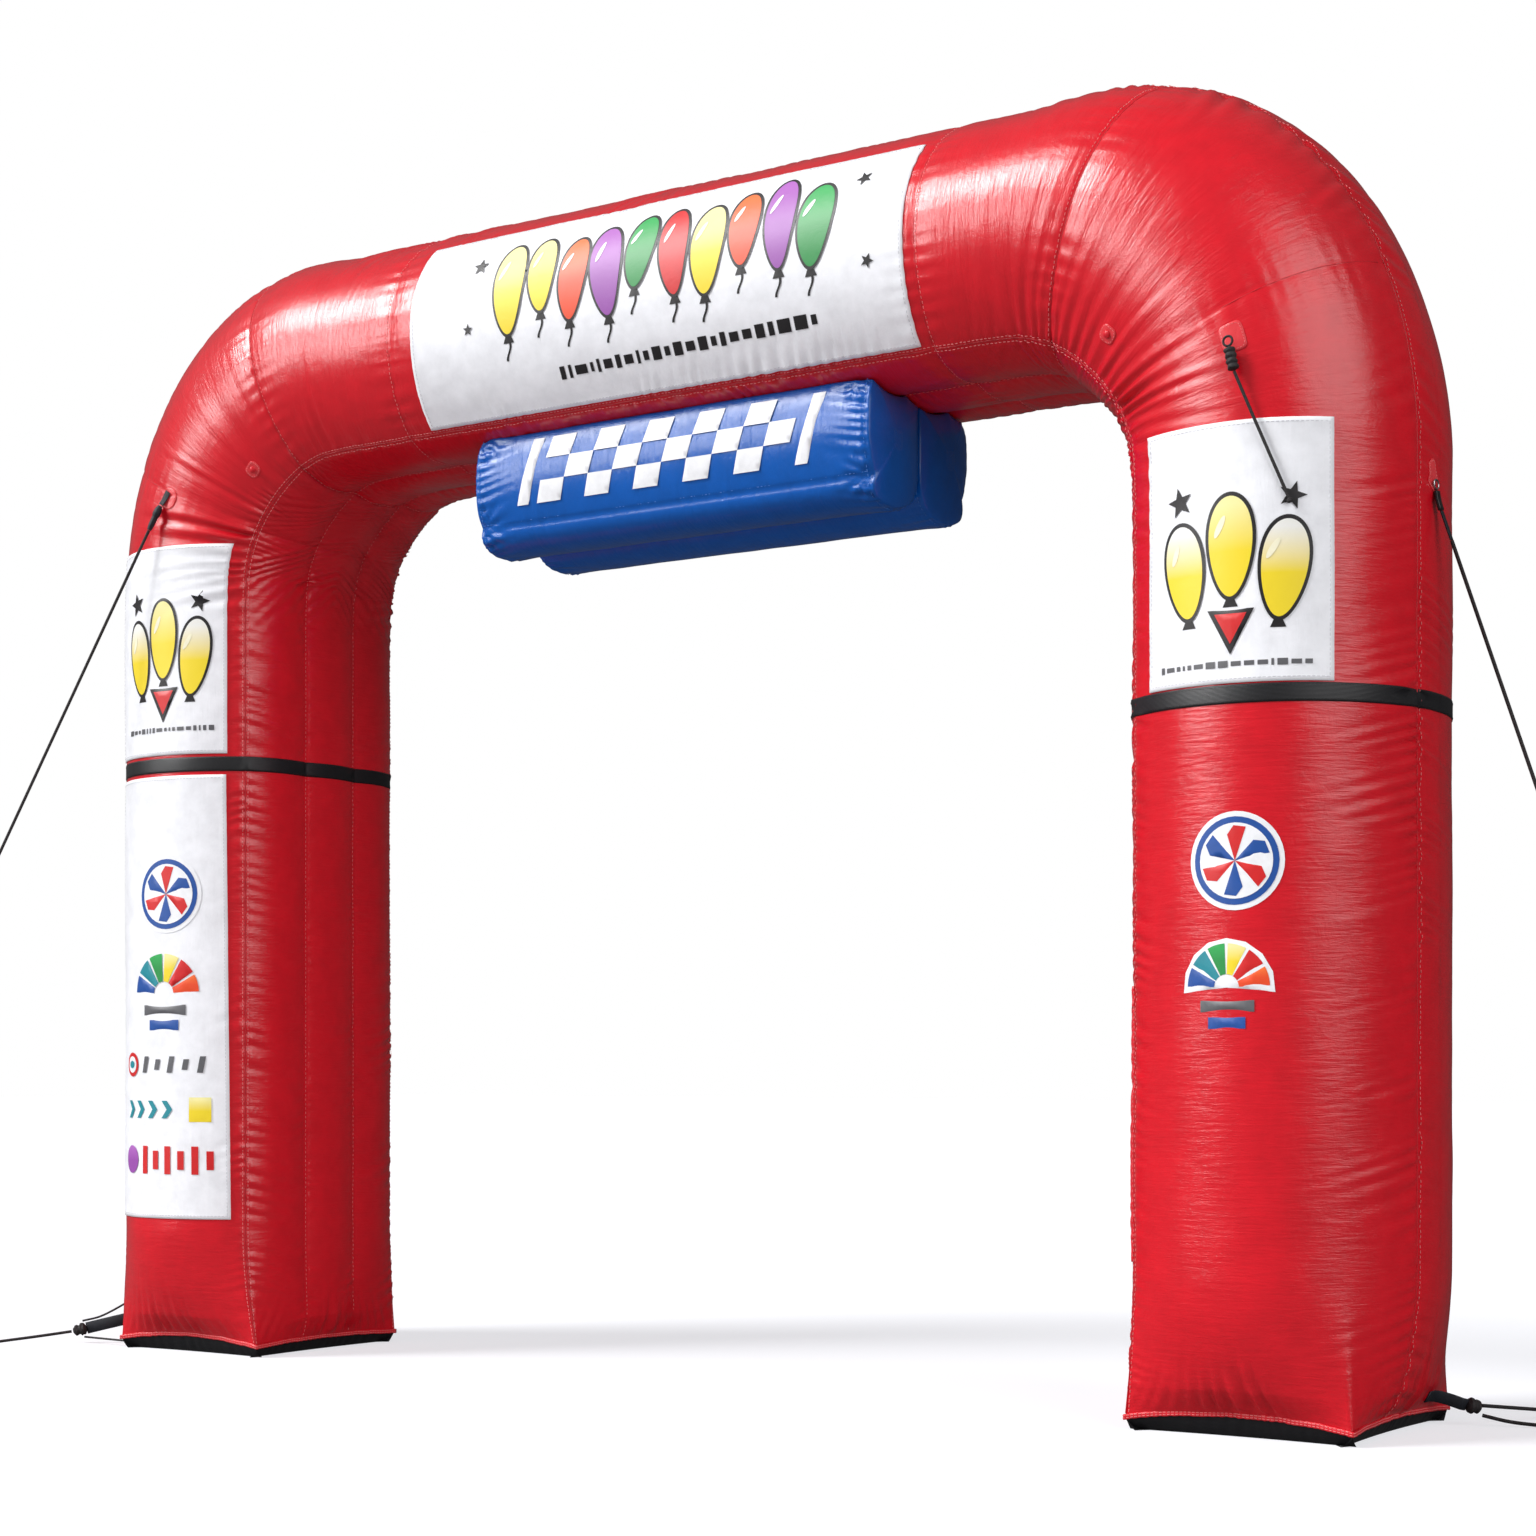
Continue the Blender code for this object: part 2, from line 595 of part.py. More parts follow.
def make_beam_banner():
    row = BEAM_BANNER
    girths = girth_steps(girth_at(row["outer"]), girth_at(row["inner"]))
    low, high = (beam_ring(row[key], SECTION) for key in ("low_x", "high_x"))
    normals = ring_normals(low, high, girths)
    rows = [[(ring_point(ring, girth), normal) for girth, normal in zip(girths, normals)]
            for ring in (low, high)]
    return sheet_object("banner_beam", rows, WHITE, 0.55, SEW_GAP, SHEET)


def banner_heights(row):
    """Heights of a leg banner's rows: few on the straight leg, close together in the bend."""
    if row["high_z"] < BEND_Z - MITRE_BELOW_BEND:
        rise = (row["high_z"] - row["low_z"]) / TAPER_ROWS
        return [row["low_z"] + rise * step for step in range(TAPER_ROWS + 1)]
    count = max(1, round((row["high_z"] - BEND_Z) / BEND_ROW))
    rise = (row["high_z"] - BEND_Z) / count
    return [row["low_z"], BEND_Z - 0.005] + [BEND_Z + rise * (step + 1) for step in range(count)]


def make_leg_banner(row, rings):
    high = (girth_at(row["outer"]), girth_at(row["inner"]))
    low = (girth_at(row["low_outer"]), girth_at(row["low_inner"]))
    heights = banner_heights(row)
    spans = []
    for height in heights:
        share = (height - row["low_z"]) / (row["high_z"] - row["low_z"])
        spans.append(tuple(a + (b - a) * share for a, b in zip(low, high)))
    rows = leg_sheet_rows(rings, heights, spans)
    return sheet_object(row["name"], rows, WHITE, 0.55, BANNER_LIFT, SHEET)


def make_band(row, rings):
    girths = [float(step) for step in range(ROUND)]
    rows = []
    normals = ring_normals(leg_row(rings, row["low_z"], girths),
                           leg_row(rings, row["high_z"], girths), girths)
    for height in (row["low_z"], row["high_z"]):
        rows.append(list(zip(leg_row(rings, height, girths), normals)))
    return sheet_object(row["name"], rows, BLACK, 0.5, SEW_GAP, SHEET, wrap=True)


def make_zip(name, rings, low, high, span):
    span = (SEAM_FRONT + span[0], SEAM_FRONT + span[1])
    rows = leg_sheet_rows(rings, (low, high), (span, span))
    return sheet_object(name, rows, BRIGHT_RED, 0.4, SEW_GAP, ZIP_THICK)


# ---------------------------------------------------------------- base
def mitred_offset(section, distance):
    """Outline moved outwards by a distance, its straight edges kept parallel."""
    count = len(section)
    result = []
    for index in range(count):
        before, here, after = (Vector(section[(index + shift) % count]) for shift in (-1, 0, 1))
        first = (here - before).normalized()
        second = (after - here).normalized()
        normal_a = Vector((-first.y, first.x))
        normal_b = Vector((-second.y, second.x))
        move = (normal_a + normal_b) / (1 + normal_a.dot(normal_b))
        result.append(tuple(here + move * distance))
    return result


def outward_sign():
    """Whether the section runs so that a left turn faces out."""
    section = flare_section(0.0, 0.0)
    area = sum(a[0] * b[1] - a[1] * b[0] for a, b in zip(section, section[1:] + section[:1]))
    return -1.0 if area > 0 else 1.0


def make_binding(name, side):
    """Sewn binding that covers the seam between the tube and its base panel."""
    rim = flare_section(0.0, 0.0)
    sign = outward_sign()
    inner = mitred_offset(rim, sign * GAP)
    outer = mitred_offset(rim, sign * (GAP + BINDING_THICK))
    rings = [leg_ring(side, RIM_Z - BINDING_HALF, inner, 1.0),
             leg_ring(side, RIM_Z - BINDING_HALF, outer, 1.0),
             leg_ring(side, RIM_Z + BINDING_HALF, outer, 1.0),
             leg_ring(side, RIM_Z + BINDING_HALF, inner, 1.0)]
    points = [point for ring in rings for point in ring]
    faces = closed_faces(4, ROUND)
    top, bottom = 3 * ROUND, 0
    for index in range(ROUND):
        after = (index + 1) % ROUND
        faces.append((top + index, top + after, bottom + after, bottom + index))
    result = make_object(name, points, faces, BRIGHT_RED, 0.45)
    make_outward(result)
    return result


def make_base_panel(name, side):
    """Black underside: a shallow filled pan that is drawn in towards the floor."""
    rim = flare_section(0.0, 0.0)
    sign = outward_sign()
    half = mitred_offset(rim, -sign * PANEL_DRAWN_IN * 0.28)
    floor = mitred_offset(rim, -sign * PANEL_DRAWN_IN)
    low_z = RIM_Z - BINDING_HALF * 1.6
    rings = [leg_ring(side, RIM_Z - GAP, rim, 1.0),
             leg_ring(side, RIM_Z - BINDING_HALF * 1.3, rim, 1.0),
             leg_ring(side, low_z * 0.5, half, 0.6),
             leg_ring(side, 0.0, floor)]
    points = [point for ring in rings for point in ring]
    faces = closed_faces(4, ROUND)
    for row in (0, 3):
        middle = sum((rings[row][index] for index in range(ROUND)), Vector()) / ROUND
        height = RIM_Z + RIM_RISE_FRONT - GAP if row == 0 else 0.0
        points.append(Vector((middle.x, 0.0, height)))
        ring = [row * ROUND + index for index in range(ROUND)]
        faces += fan_faces(ring, len(points) - 1, flip=row == 0)
    result = make_object(name, points, faces, BLACK, 0.6)
    make_outward(result)
    return result


# ---------------------------------------------------------------- sign
def lobe_height(depth):
    """Height of the beam's underside at a depth."""
    steps = LOBE_COUNT * LOBE_STEPS
    place = (depth + SEAM_HALF_DEPTH) / (2 * SEAM_HALF_DEPTH) * steps
    step = min(int(place), steps - 1)
    low, high = lobe_point(step)[0], lobe_point(step + 1)[0]
    return BEAM_Z + low + (high - low) * (place - step)


def sign_outline(front):
    """Cross-section of one block as (depth, height), from its outer face to its inner one."""
    outer = SIGN_FRONT_Y if front else SIGN_BACK_Y
    inner = SIGN_MIDDLE_Y - SIGN_GROOVE_Y if front else SIGN_MIDDLE_Y + SIGN_GROOVE_Y
    out = -1 if front else 1
    depths = [lobe_point(step)[1] for step in range(1, LOBE_COUNT * LOBE_STEPS)]
    between = [depth for depth in depths
               if min(outer, inner) + 0.004 < depth < max(outer, inner) - 0.004]
    between.sort(reverse=not front)
    top = [(depth, lobe_height(depth) - GAP * 2) for depth in [outer] + between + [inner]]
    edge_z = top[0][1]
    face = []
    for step in range(1, SIGN_FACE_STEPS + 1):
        share = step / SIGN_FACE_STEPS
        crown = SIGN_FACE_CROWN * math.sin(math.pi * share) ** 0.8 if share < 1 else 0.0
        face.append((outer + out * crown, edge_z + (SIGN_SEAM_Z - edge_z) * share))
    bottom = []
    for step in range(1, SIGN_BOTTOM_STEPS + 1):
        share = step / SIGN_BOTTOM_STEPS
        angle = math.pi * share
        sag = (SIGN_SEAM_Z - SIGN_BOTTOM_Z) * math.sin(angle) ** 0.75 if share < 1 else 0.0
        lift = 0.05 * share ** 3
        bottom.append((outer + (inner - outer) * (1 - math.cos(angle)) / 2,
                       SIGN_SEAM_Z - sag + lift))
    low, high = bottom[-1][1], top[-1][1]
    side = [(inner, low + (high - low) * step / SIGN_SIDE_STEPS)
            for step in range(1, SIGN_SIDE_STEPS)]
    return face + bottom + side + top[::-1]


def make_sign(name, front):
    outline = sign_outline(front)
    count = len(outline)
    middle_y = sum(depth for depth, _ in outline) / count
    middle_z = sum(height for _, height in outline) / count
    half = SIGN_LENGTH / 2
    loops = [{"scale": row["scale"], "at": -half - row["out"]} for row in reversed(SIGN_END_LOOPS)]
    loops += [{"scale": 1.0, "at": place * half} for place in (-1.0, -0.5, 0.0, 0.5, 1.0)]
    loops += [{"scale": row["scale"], "at": half + row["out"]} for row in SIGN_END_LOOPS]
    points = []
    for loop in loops:
        for depth, height in outline:
            points.append((SIGN_MIDDLE_X + loop["at"],
                           middle_y + (depth - middle_y) * loop["scale"],
                           middle_z + (height - middle_z) * loop["scale"]))
    faces = closed_faces(len(loops), count)
    for row, out in ((0, -1), (len(loops) - 1, 1)):
        tip = half + SIGN_END_LOOPS[-1]["out"] + 0.001
        points.append((SIGN_MIDDLE_X + out * tip, middle_y, middle_z))
        faces += fan_faces([row * count + index for index in range(count)], len(points) - 1,
                           flip=out > 0)
    result = make_object(name, points, faces, BLUE, 0.35)
    make_outward(result)
    return result


# ---------------------------------------------------------------- patches and fittings
def tube_place(row):
    """Point and outward direction of the tube where a patch sits."""
    side = row["side"]
    if "height" in row:
        ring = leg_ring(side, row["height"], SECTION)
        above = leg_ring(side, row["height"] + 0.01, SECTION)
    else:
        ring = bend_ring(side, math.radians(row["angle"]), SECTION)
        above = bend_ring(side, math.radians(row["angle"] + 0.5), SECTION)
    normal = ring_normals(ring, above, [row["girth"]])[0].normalized()
    return ring_point(ring, row["girth"]), normal


def local_axes(normal):
    up = Vector((0.0, 0.0, 1.0))
    up = (up - normal * up.dot(normal)).normalized()
    return up.cross(normal).normalized(), up


def make_patch(row, fabric):
    """Rounded reinforcing patch that follows the fabric under it."""
    centre, normal = tube_place(row)
    across, up = local_axes(normal)
    half_across, half_up = row["half"]
    offsets = [(0.0, 0.0)]
    for scale in (0.55, 1.0):
        for number in range(PATCH_POINTS):
            angle = 2 * math.pi * number / PATCH_POINTS
            cosine, sine = math.cos(angle), math.sin(angle)
            x = math.copysign(abs(cosine) ** (2 / PATCH_POWER), cosine) * half_across
            y = math.copysign(abs(sine) ** (2 / PATCH_POWER), sine) * half_up
            offsets.append((x * scale, y * scale))
    points = []
    for height in (PATCH_LIFT, PATCH_LIFT + PATCH_THICK):
        for x, y in offsets:
            start = centre + across * x + up * y + normal * 0.1
            hit, _, _, _ = fabric.ray_cast(start, -normal)
            points.append(hit + normal * height)
    layer = len(offsets)
    faces = []
    for number in range(PATCH_POINTS):
        after = (number + 1) % PATCH_POINTS
        inner_a, inner_b = 1 + number, 1 + after
        outer_a, outer_b = inner_a + PATCH_POINTS, inner_b + PATCH_POINTS
        for shift in (0, layer):
            faces.append((shift, shift + inner_a, shift + inner_b))
            faces.append((shift + inner_a, shift + outer_a, shift + outer_b, shift + inner_b))
        faces.append((outer_a, outer_b, outer_b + layer, outer_a + layer))
    result = make_object(row["name"], points, faces, BRIGHT_RED, 0.4)
    make_outward(result)
    return points[layer], normal


def make_dome(name, base, normal, radius, rise, colour):
    """Low round stud standing on a patch."""
    across, up = local_axes(normal)
    profile = ((1.0, 0.0), (1.0, 0.35), (0.8, 0.75), (0.45, 0.95))
    points = []
    for size, height in profile:
        for number in range(12):
            angle = 2 * math.pi * number / 12
            points.append(base + (across * math.cos(angle) + up * math.sin(angle)) * radius * size
                          + normal * (BUTTON_LIFT + rise * height))
    faces = closed_faces(len(profile), 12)
    points.append(base + normal * BUTTON_LIFT)
    faces += fan_faces(list(range(12)), len(points) - 1)
    points.append(base + normal * (BUTTON_LIFT + rise))
    faces += fan_faces([36 + index for index in range(12)], len(points) - 1, flip=True)
    result = make_object(name, points, faces, colour, 0.3)
    make_outward(result)
    return result


def make_turned(name, start, end, profile, colour, roughness, sides=10):
    """Round piece along a line from rows of (share along it, radius)."""
    start, end = Vector(start), Vector(end)
    axis = (end - start).normalized()
    across = axis.orthogonal().normalized()
    other = axis.cross(across)
    points = []
    for share, radius in profile:
        for number in range(sides):
            angle = 2 * math.pi * number / sides
            points.append(start.lerp(end, share)
                          + (across * math.cos(angle) + other * math.sin(angle)) * radius)
    faces = closed_faces(len(profile), sides)
    faces.append(tuple(range(sides)))
    last = (len(profile) - 1) * sides
    faces.append(tuple(last + number for number in reversed(range(sides))))
    result = make_object(name, points, faces, colour, roughness)
    make_outward(result)
    return result


def make_strap(name, route, width, thick, across, colour=BLACK):
    """Flat webbing along a route; across is the direction of its width."""
    across = Vector(across).normalized()
    points = []
    for number, place in enumerate(route):
        here = Vector(place)
        before = Vector(route[max(number - 1, 0)])
        after = Vector(route[min(number + 1, len(route) - 1)])
        along = (after - before).normalized()
        wide = (across - along * across.dot(along)).normalized()
        thin = along.cross(wide)
        for a, b in ((-1, -1), (1, -1), (1, 1), (-1, 1)):
            points.append(here + wide * (a * width / 2) + thin * (b * thick / 2))
    faces = closed_faces(len(route), 4)
    faces.append((0, 1, 2, 3))
    last = 4 * (len(route) - 1)
    faces.append((last + 3, last + 2, last + 1, last))
    result = make_object(name, points, faces, colour, 0.6)
    make_outward(result)
    return result


def smooth_route(route, spacing):
    """Points along a smooth curve through the route's own points."""
    knots = [Vector(place) for place in route]
    padded = [knots[0] * 2 - knots[1]] + knots + [knots[-1] * 2 - knots[-2]]
    result = [knots[0]]
    for number in range(1, len(padded) - 2):
        p0, p1, p2, p3 = padded[number - 1:number + 3]
        pieces = max(1, round((p2 - p1).length / spacing))
        for piece in range(1, pieces + 1):
            t = piece / pieces
            result.append(0.5 * (2 * p1 + (p2 - p0) * t
                                 + (2 * p0 - 5 * p1 + 4 * p2 - p3) * t ** 2
                                 + (3 * p1 - p0 - 3 * p2 + p3) * t ** 3))
    return result


def make_rope(name, route, radius, spacing):
    curve = bpy.data.curves.new(name, "CURVE")
    curve.dimensions = "3D"
    curve.bevel_depth = radius
    curve.bevel_resolution = 2
    curve.use_fill_caps = True
    spline = curve.splines.new("POLY")
    places = smooth_route(route, spacing)
    spline.points.add(len(places) - 1)
    for point, place in zip(spline.points, places):
        point.co = (*place, 1.0)
    curve.materials.append(make_material(name, BLACK, 0.7))
    result = bpy.data.objects.new(name, curve)
    bpy.context.scene.collection.objects.link(result)
    return result


def make_eye(name, end, direction, flat_normal, ring, radius):
    """Ring of cord just past the end of a rope or knot."""
    along = Vector(direction).normalized()
    normal = Vector(flat_normal)
    normal = (normal - along * normal.dot(along)).normalized()
    side = along.cross(normal)
    middle = Vector(end) + along * (ring + radius + GAP)
    points = []
    around, tube = 14, 6
    for number in range(around):
        angle = 2 * math.pi * number / around
        out = along * math.cos(angle) + side * math.sin(angle)
        for corner in range(tube):
            turn = 2 * math.pi * corner / tube + math.pi / 6
            points.append(middle + out * (ring + radius * math.cos(turn))
                          + normal * (radius * math.sin(turn)))
    faces = []
    for number in range(around):
        after = (number + 1) % around
        for corner in range(tube):
            beside = (corner + 1) % tube
            faces.append((number * tube + corner, number * tube + beside,
                          after * tube + beside, after * tube + corner))
    result = make_object(name, points, faces, BLACK, 0.7)
    make_outward(result)
    return result


# ---------------------------------------------------------------- build
def clear_scene():
    for item in list(bpy.data.objects):
        bpy.data.objects.remove(item, do_unlink=True)


def make_ropework():
    for row in STRAPS:
        make_strap(row["name"], row["route"], row["width"], row["thick"], row["across"])
    for row in KNOTS:
        make_turned(row["name"], row["start"], row["end"], row["profile"], BLACK, 0.7)
    ropes = {row["name"]: row for row in ROPES}
    for row in ROPES:
        make_rope(row["name"], row["route"], row["radius"], row["spacing"])
    for row in EYES:
        rope = ropes[row["rope"]]
        end, before = Vector(rope["route"][-1]), Vector(rope["route"][-2])
        along = end - before
        if row["flat"] == (0, 0, 1):
            along.z = 0.0
        make_eye(row["name"], end, along, row["flat"], row["ring"], rope["radius"])
    for row in LOOPS:
        make_eye(row["name"], row["end"], row["along"], row["flat"], row["ring"], row["radius"])


def main():
    clear_scene()
    left, right = side_stations(-1), side_stations(1)
    tube = make_tube(left, right, beam_stations())
    fabric = BVHTree.FromPolygons([tuple(v.co) for v in tube.data.vertices],
                                  [tuple(p.vertices) for p in tube.data.polygons])
    for name, side in (("right", 1), ("left", -1)):
        make_binding("base_binding_" + name, side)
        make_base_panel("base_panel_" + name, side)
    for row in BANDS:
        make_band(row, right if row["side"] > 0 else left)
    make_beam_banner()
    for row in LEG_BANNERS:
        make_leg_banner(row, right if row["side"] > 0 else left)
    make_zip("zip_cover", right, ZIP_LOW, ZIP_HIGH, ZIP_GIRTH)
    make_zip("zip_patch_top", right, ZIP_HIGH + 0.001, ZIP_HIGH + ZIP_PATCH, ZIP_PATCH_GIRTH)
    make_zip("zip_patch_bottom", right, ZIP_LOW - ZIP_PATCH, ZIP_LOW - 0.001, ZIP_PATCH_GIRTH)
    make_sign("sign_front", True)
    make_sign("sign_back", False)
    for row in PATCHES:
        base, normal = make_patch(row, fabric)
        if "button" in row["name"]:
            make_dome(row["name"].replace("patch_", ""), base, normal, BUTTON_RADIUS,
                      BUTTON_RISE, BRIGHT_RED)
    make_ropework()


main()
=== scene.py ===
"""Looks of the inflatable arch: coated fabric, seams, gathers, prints, webbing and ropes.

Everything is placed in the row frame (metres, +Z up) over the CAD nodes.
"""
import math
import random

import bmesh
import bpy
import numpy as np
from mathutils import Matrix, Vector
from mathutils.geometry import delaunay_2d_cdt


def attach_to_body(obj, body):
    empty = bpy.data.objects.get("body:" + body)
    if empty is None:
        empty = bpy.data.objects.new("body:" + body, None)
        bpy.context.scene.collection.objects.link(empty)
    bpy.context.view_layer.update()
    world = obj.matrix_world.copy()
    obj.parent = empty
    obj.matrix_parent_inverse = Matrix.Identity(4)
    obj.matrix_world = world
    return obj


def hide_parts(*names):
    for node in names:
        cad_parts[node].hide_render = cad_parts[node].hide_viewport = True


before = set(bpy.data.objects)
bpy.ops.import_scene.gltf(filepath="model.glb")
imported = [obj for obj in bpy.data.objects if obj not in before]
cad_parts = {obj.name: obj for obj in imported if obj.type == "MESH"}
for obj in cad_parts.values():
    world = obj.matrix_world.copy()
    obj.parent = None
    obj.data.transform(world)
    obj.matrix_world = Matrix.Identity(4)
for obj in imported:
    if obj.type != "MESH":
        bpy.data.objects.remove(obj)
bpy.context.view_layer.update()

# ---------------------------------------------------------------- sizes shared with the solids
ARCH_WIDTH, ARCH_HEIGHT = 6.0, 4.70
TUBE_OUT, TUBE_IN = 0.5175, 0.388
TUBE_HALF_DEPTH, SEAM_HALF_DEPTH = 0.598, 0.4575
OUTER_POWER = 2.04
LOBE_RISE, CHANNEL_OUT, CHANNEL_POWER = 0.028, 0.446, 2.5
INNER_BEND_RADIUS = 0.472
SWELL_OUT, SWELL_IN = 0.080, 0.038
BASE_OUT, BASE_IN, BASE_HALF_DEPTH = 0.389, 0.432, 0.4386
RIM_Z, FLARE_HEIGHT = 0.045, 0.50
RIM_RISE_FRONT, RIM_RISE_SIDE = 0.032, 0.014
RIM_DRAWN_IN, BASE_BULGE, BULGE_HEIGHT, SETTLE_HEIGHT = 0.020, 0.022, 0.10, 0.25
# places round the tube, in steps forward from its outer side: 50 steps are once round
OUTER_SEAM, CORNER, FOREMOST, SEAM_F, CHANNEL_F, CHANNEL_B, SEAM_B, ROUND = 1.6, 5, 10, 16, 22, 28, 34, 50
CORNERS = (CORNER, SEAM_F, SEAM_B, ROUND - CORNER)
LEG_X = ARCH_WIDTH / 2 - TUBE_OUT
BEAM_Z = ARCH_HEIGHT - TUBE_OUT
BEND_R = INNER_BEND_RADIUS + TUBE_IN
BEND_X = LEG_X - BEND_R
BEND_Z = BEAM_Z - BEND_R
BEND_END = BEND_Z + BEND_R * math.pi / 2      # path length where the beam starts
PATH_END = BEND_END + BEND_X                  # path length at the middle of the beam
BAND_Z = {1: (2.430, 2.492), -1: (2.500, 2.562)}
BEAM_SEAMS = (-1.16, 1.30)
SIGN_X, SIGN_LENGTH = 0.081, 1.84
SIDES = ((1, "right"), (-1, "left"))


def bend_path(degrees):
    """Path length from the floor at an angle round the bend."""
    return BEND_Z + BEND_R * math.radians(degrees)


MID_BEND_PATH, RING_PATH = bend_path(25.7), bend_path(70.7)


# ---------------------------------------------------------------- numbers
def ease(t):
    return t * t * (3 - 2 * t)


def smooth(x, low, high):
    """Soft step from 0 at low to 1 at high."""
    return ease(np.clip((np.asarray(x, float) - low) / (high - low), 0, 1))


def bell(x, width, power=2):
    """1 at zero, falling off over width."""
    return np.exp(-(x / width) ** power)


def unit(vectors):
    return vectors / np.linalg.norm(vectors, axis=-1, keepdims=True)


def run_along(points):
    """Distance along a line at each of its points."""
    return np.concatenate([[0], np.cumsum(np.linalg.norm(np.diff(points, axis=0), axis=1))])


def spaced(low, high, step):
    """Even numbers from low to high, about step apart."""
    return np.linspace(low, high, max(2, int(round((high - low) / step)) + 1))


def grid_of(rows, columns):
    return np.meshgrid(rows, columns, indexing="ij")


def pairs_of(rows, columns):
    """Grid of pairs, for UV coordinates in metres along and round a piece."""
    return np.stack(grid_of(rows, columns), -1)


def full_turn(count):
    """Even angles once round."""
    return np.linspace(0, 2 * np.pi, count, endpoint=False)


def turned_about(x, y, cx, cy, turn=0.0):
    """Flat points turned by an angle and moved to (cx, cy)."""
    c, s = math.cos(turn), math.sin(turn)
    return np.stack([cx + x * c - y * s, cy + x * s + y * c], -1)


def lattice(i, j, seed):
    """Fixed pseudo-random number from -1 to 1 at whole-number points."""
    h = np.sin(i * 127.1 + j * 311.7 + seed * 74.7) * 43758.5453
    return (h - np.floor(h)) * 2 - 1


def noise1(x, seed):
    i = np.floor(x)
    t = ease(x - i)
    return lattice(i, 0 * i, seed) * (1 - t) + lattice(i + 1, 0 * i, seed) * t


def noise2(x, y, seed):
    i, j = np.floor(x), np.floor(y)
    s, t = ease(x - i), ease(y - j)
    low = lattice(i, j, seed) * (1 - s) + lattice(i + 1, j, seed) * s
    high = lattice(i, j + 1, seed) * (1 - s) + lattice(i + 1, j + 1, seed) * s
    return low * (1 - t) + high * t


def folds(x, pitch, seed, sharp=1.6):
    """Uneven row of folds along x, from -1 to 1, sharper in their valleys."""
    wander = x / pitch + 0.9 * noise1(x / (pitch * 2.7), seed)
    wave = np.sin(2 * np.pi * wander)
    strength = 0.55 + 0.45 * noise1(x / (pitch * 1.9), seed + 5)
    return (1 - 2 * np.abs(0.5 - 0.5 * wave) ** sharp) * strength


# ---------------------------------------------------------------- tube section
REACH_IN = TUBE_IN / (1 - (SEAM_HALF_DEPTH / TUBE_HALF_DEPTH) ** OUTER_POWER) ** (1 / OUTER_POWER)
LAST_ANGLE = math.asin((TUBE_IN / REACH_IN) ** (OUTER_POWER / 2))


def lobe_line(step):
    """(outward, depth) on the face towards the passage, step 0 at the front inner seam."""
    depth = -SEAM_HALF_DEPTH + 2 * SEAM_HALF_DEPTH * step / (SEAM_B - SEAM_F)
    fall = (CHANNEL_OUT - TUBE_IN) * np.clip(np.abs(depth) / SEAM_HALF_DEPTH, 0, 1) ** CHANNEL_POWER
    lobe = np.abs(np.sin(np.pi * step / (CHANNEL_F - SEAM_F))) ** 0.8
    return -CHANNEL_OUT + fall - LOBE_RISE * lobe, depth


def swell(out, s):
    """Outward distance with the extra fullness of the bends."""
    degrees = np.degrees((s - BEND_Z) / BEND_R)
    outer = np.sin(np.pi * np.clip((degrees - 5) / 85, 0, 1) ** 1.5)
    inner = np.sin(np.pi * np.clip((degrees + 10) / 110, 0, 1))
    outer_scale = 1 + SWELL_OUT / TUBE_OUT * np.clip(outer, 0, 1) ** 1.2
    inner_scale = 1 + SWELL_IN / TUBE_IN * np.clip(inner, 0, 1) ** 1.5
    return out * np.where(out > 0, outer_scale, inner_scale)


def section(g):
    """(outward, depth) of the tube at g steps round it from its outer seam line."""
    g = np.mod(np.asarray(g, float), ROUND)
    back = g > ROUND / 2
    h = np.where(back, ROUND - g, g)
    outer = h <= FOREMOST
    angle = np.where(outer, np.pi / 2 * h / FOREMOST,
                     np.pi / 2 + LAST_ANGLE * (h - FOREMOST) / (SEAM_F - FOREMOST))
    reach = np.where(outer, TUBE_OUT, REACH_IN)
    c, s = np.cos(angle), np.abs(np.sin(angle))
    out = reach * np.sign(c) * np.abs(c) ** (2 / OUTER_POWER)
    depth = -TUBE_HALF_DEPTH * s ** (2 / OUTER_POWER)
    lobe_out, lobe_depth = lobe_line(h - SEAM_F)
    on_lobes = h > SEAM_F
    out = np.where(on_lobes, lobe_out, out)
    depth = np.where(on_lobes, lobe_depth, depth)
    return out, np.where(back, -depth, depth)


FINE_G = np.linspace(0, ROUND, 2001)
FINE_OUT, FINE_DEPTH = section(FINE_G)
FINE_L = np.concatenate([[0], np.cumsum(np.hypot(np.diff(FINE_OUT), np.diff(FINE_DEPTH)))])


def arc_of(g):
    """Metres round the tube from the outer seam line to g."""
    g = np.asarray(g, float)
    turns = np.floor(g / ROUND)
    return np.interp(g - turns * ROUND, FINE_G, FINE_L) + turns * FINE_L[-1]


def g_of_arc(length):
    return np.interp(length, FINE_L, FINE_G)


ARC_END = float(FINE_L[-1])
ARC_F, ARC_B = float(arc_of(SEAM_F)), float(arc_of(SEAM_B))


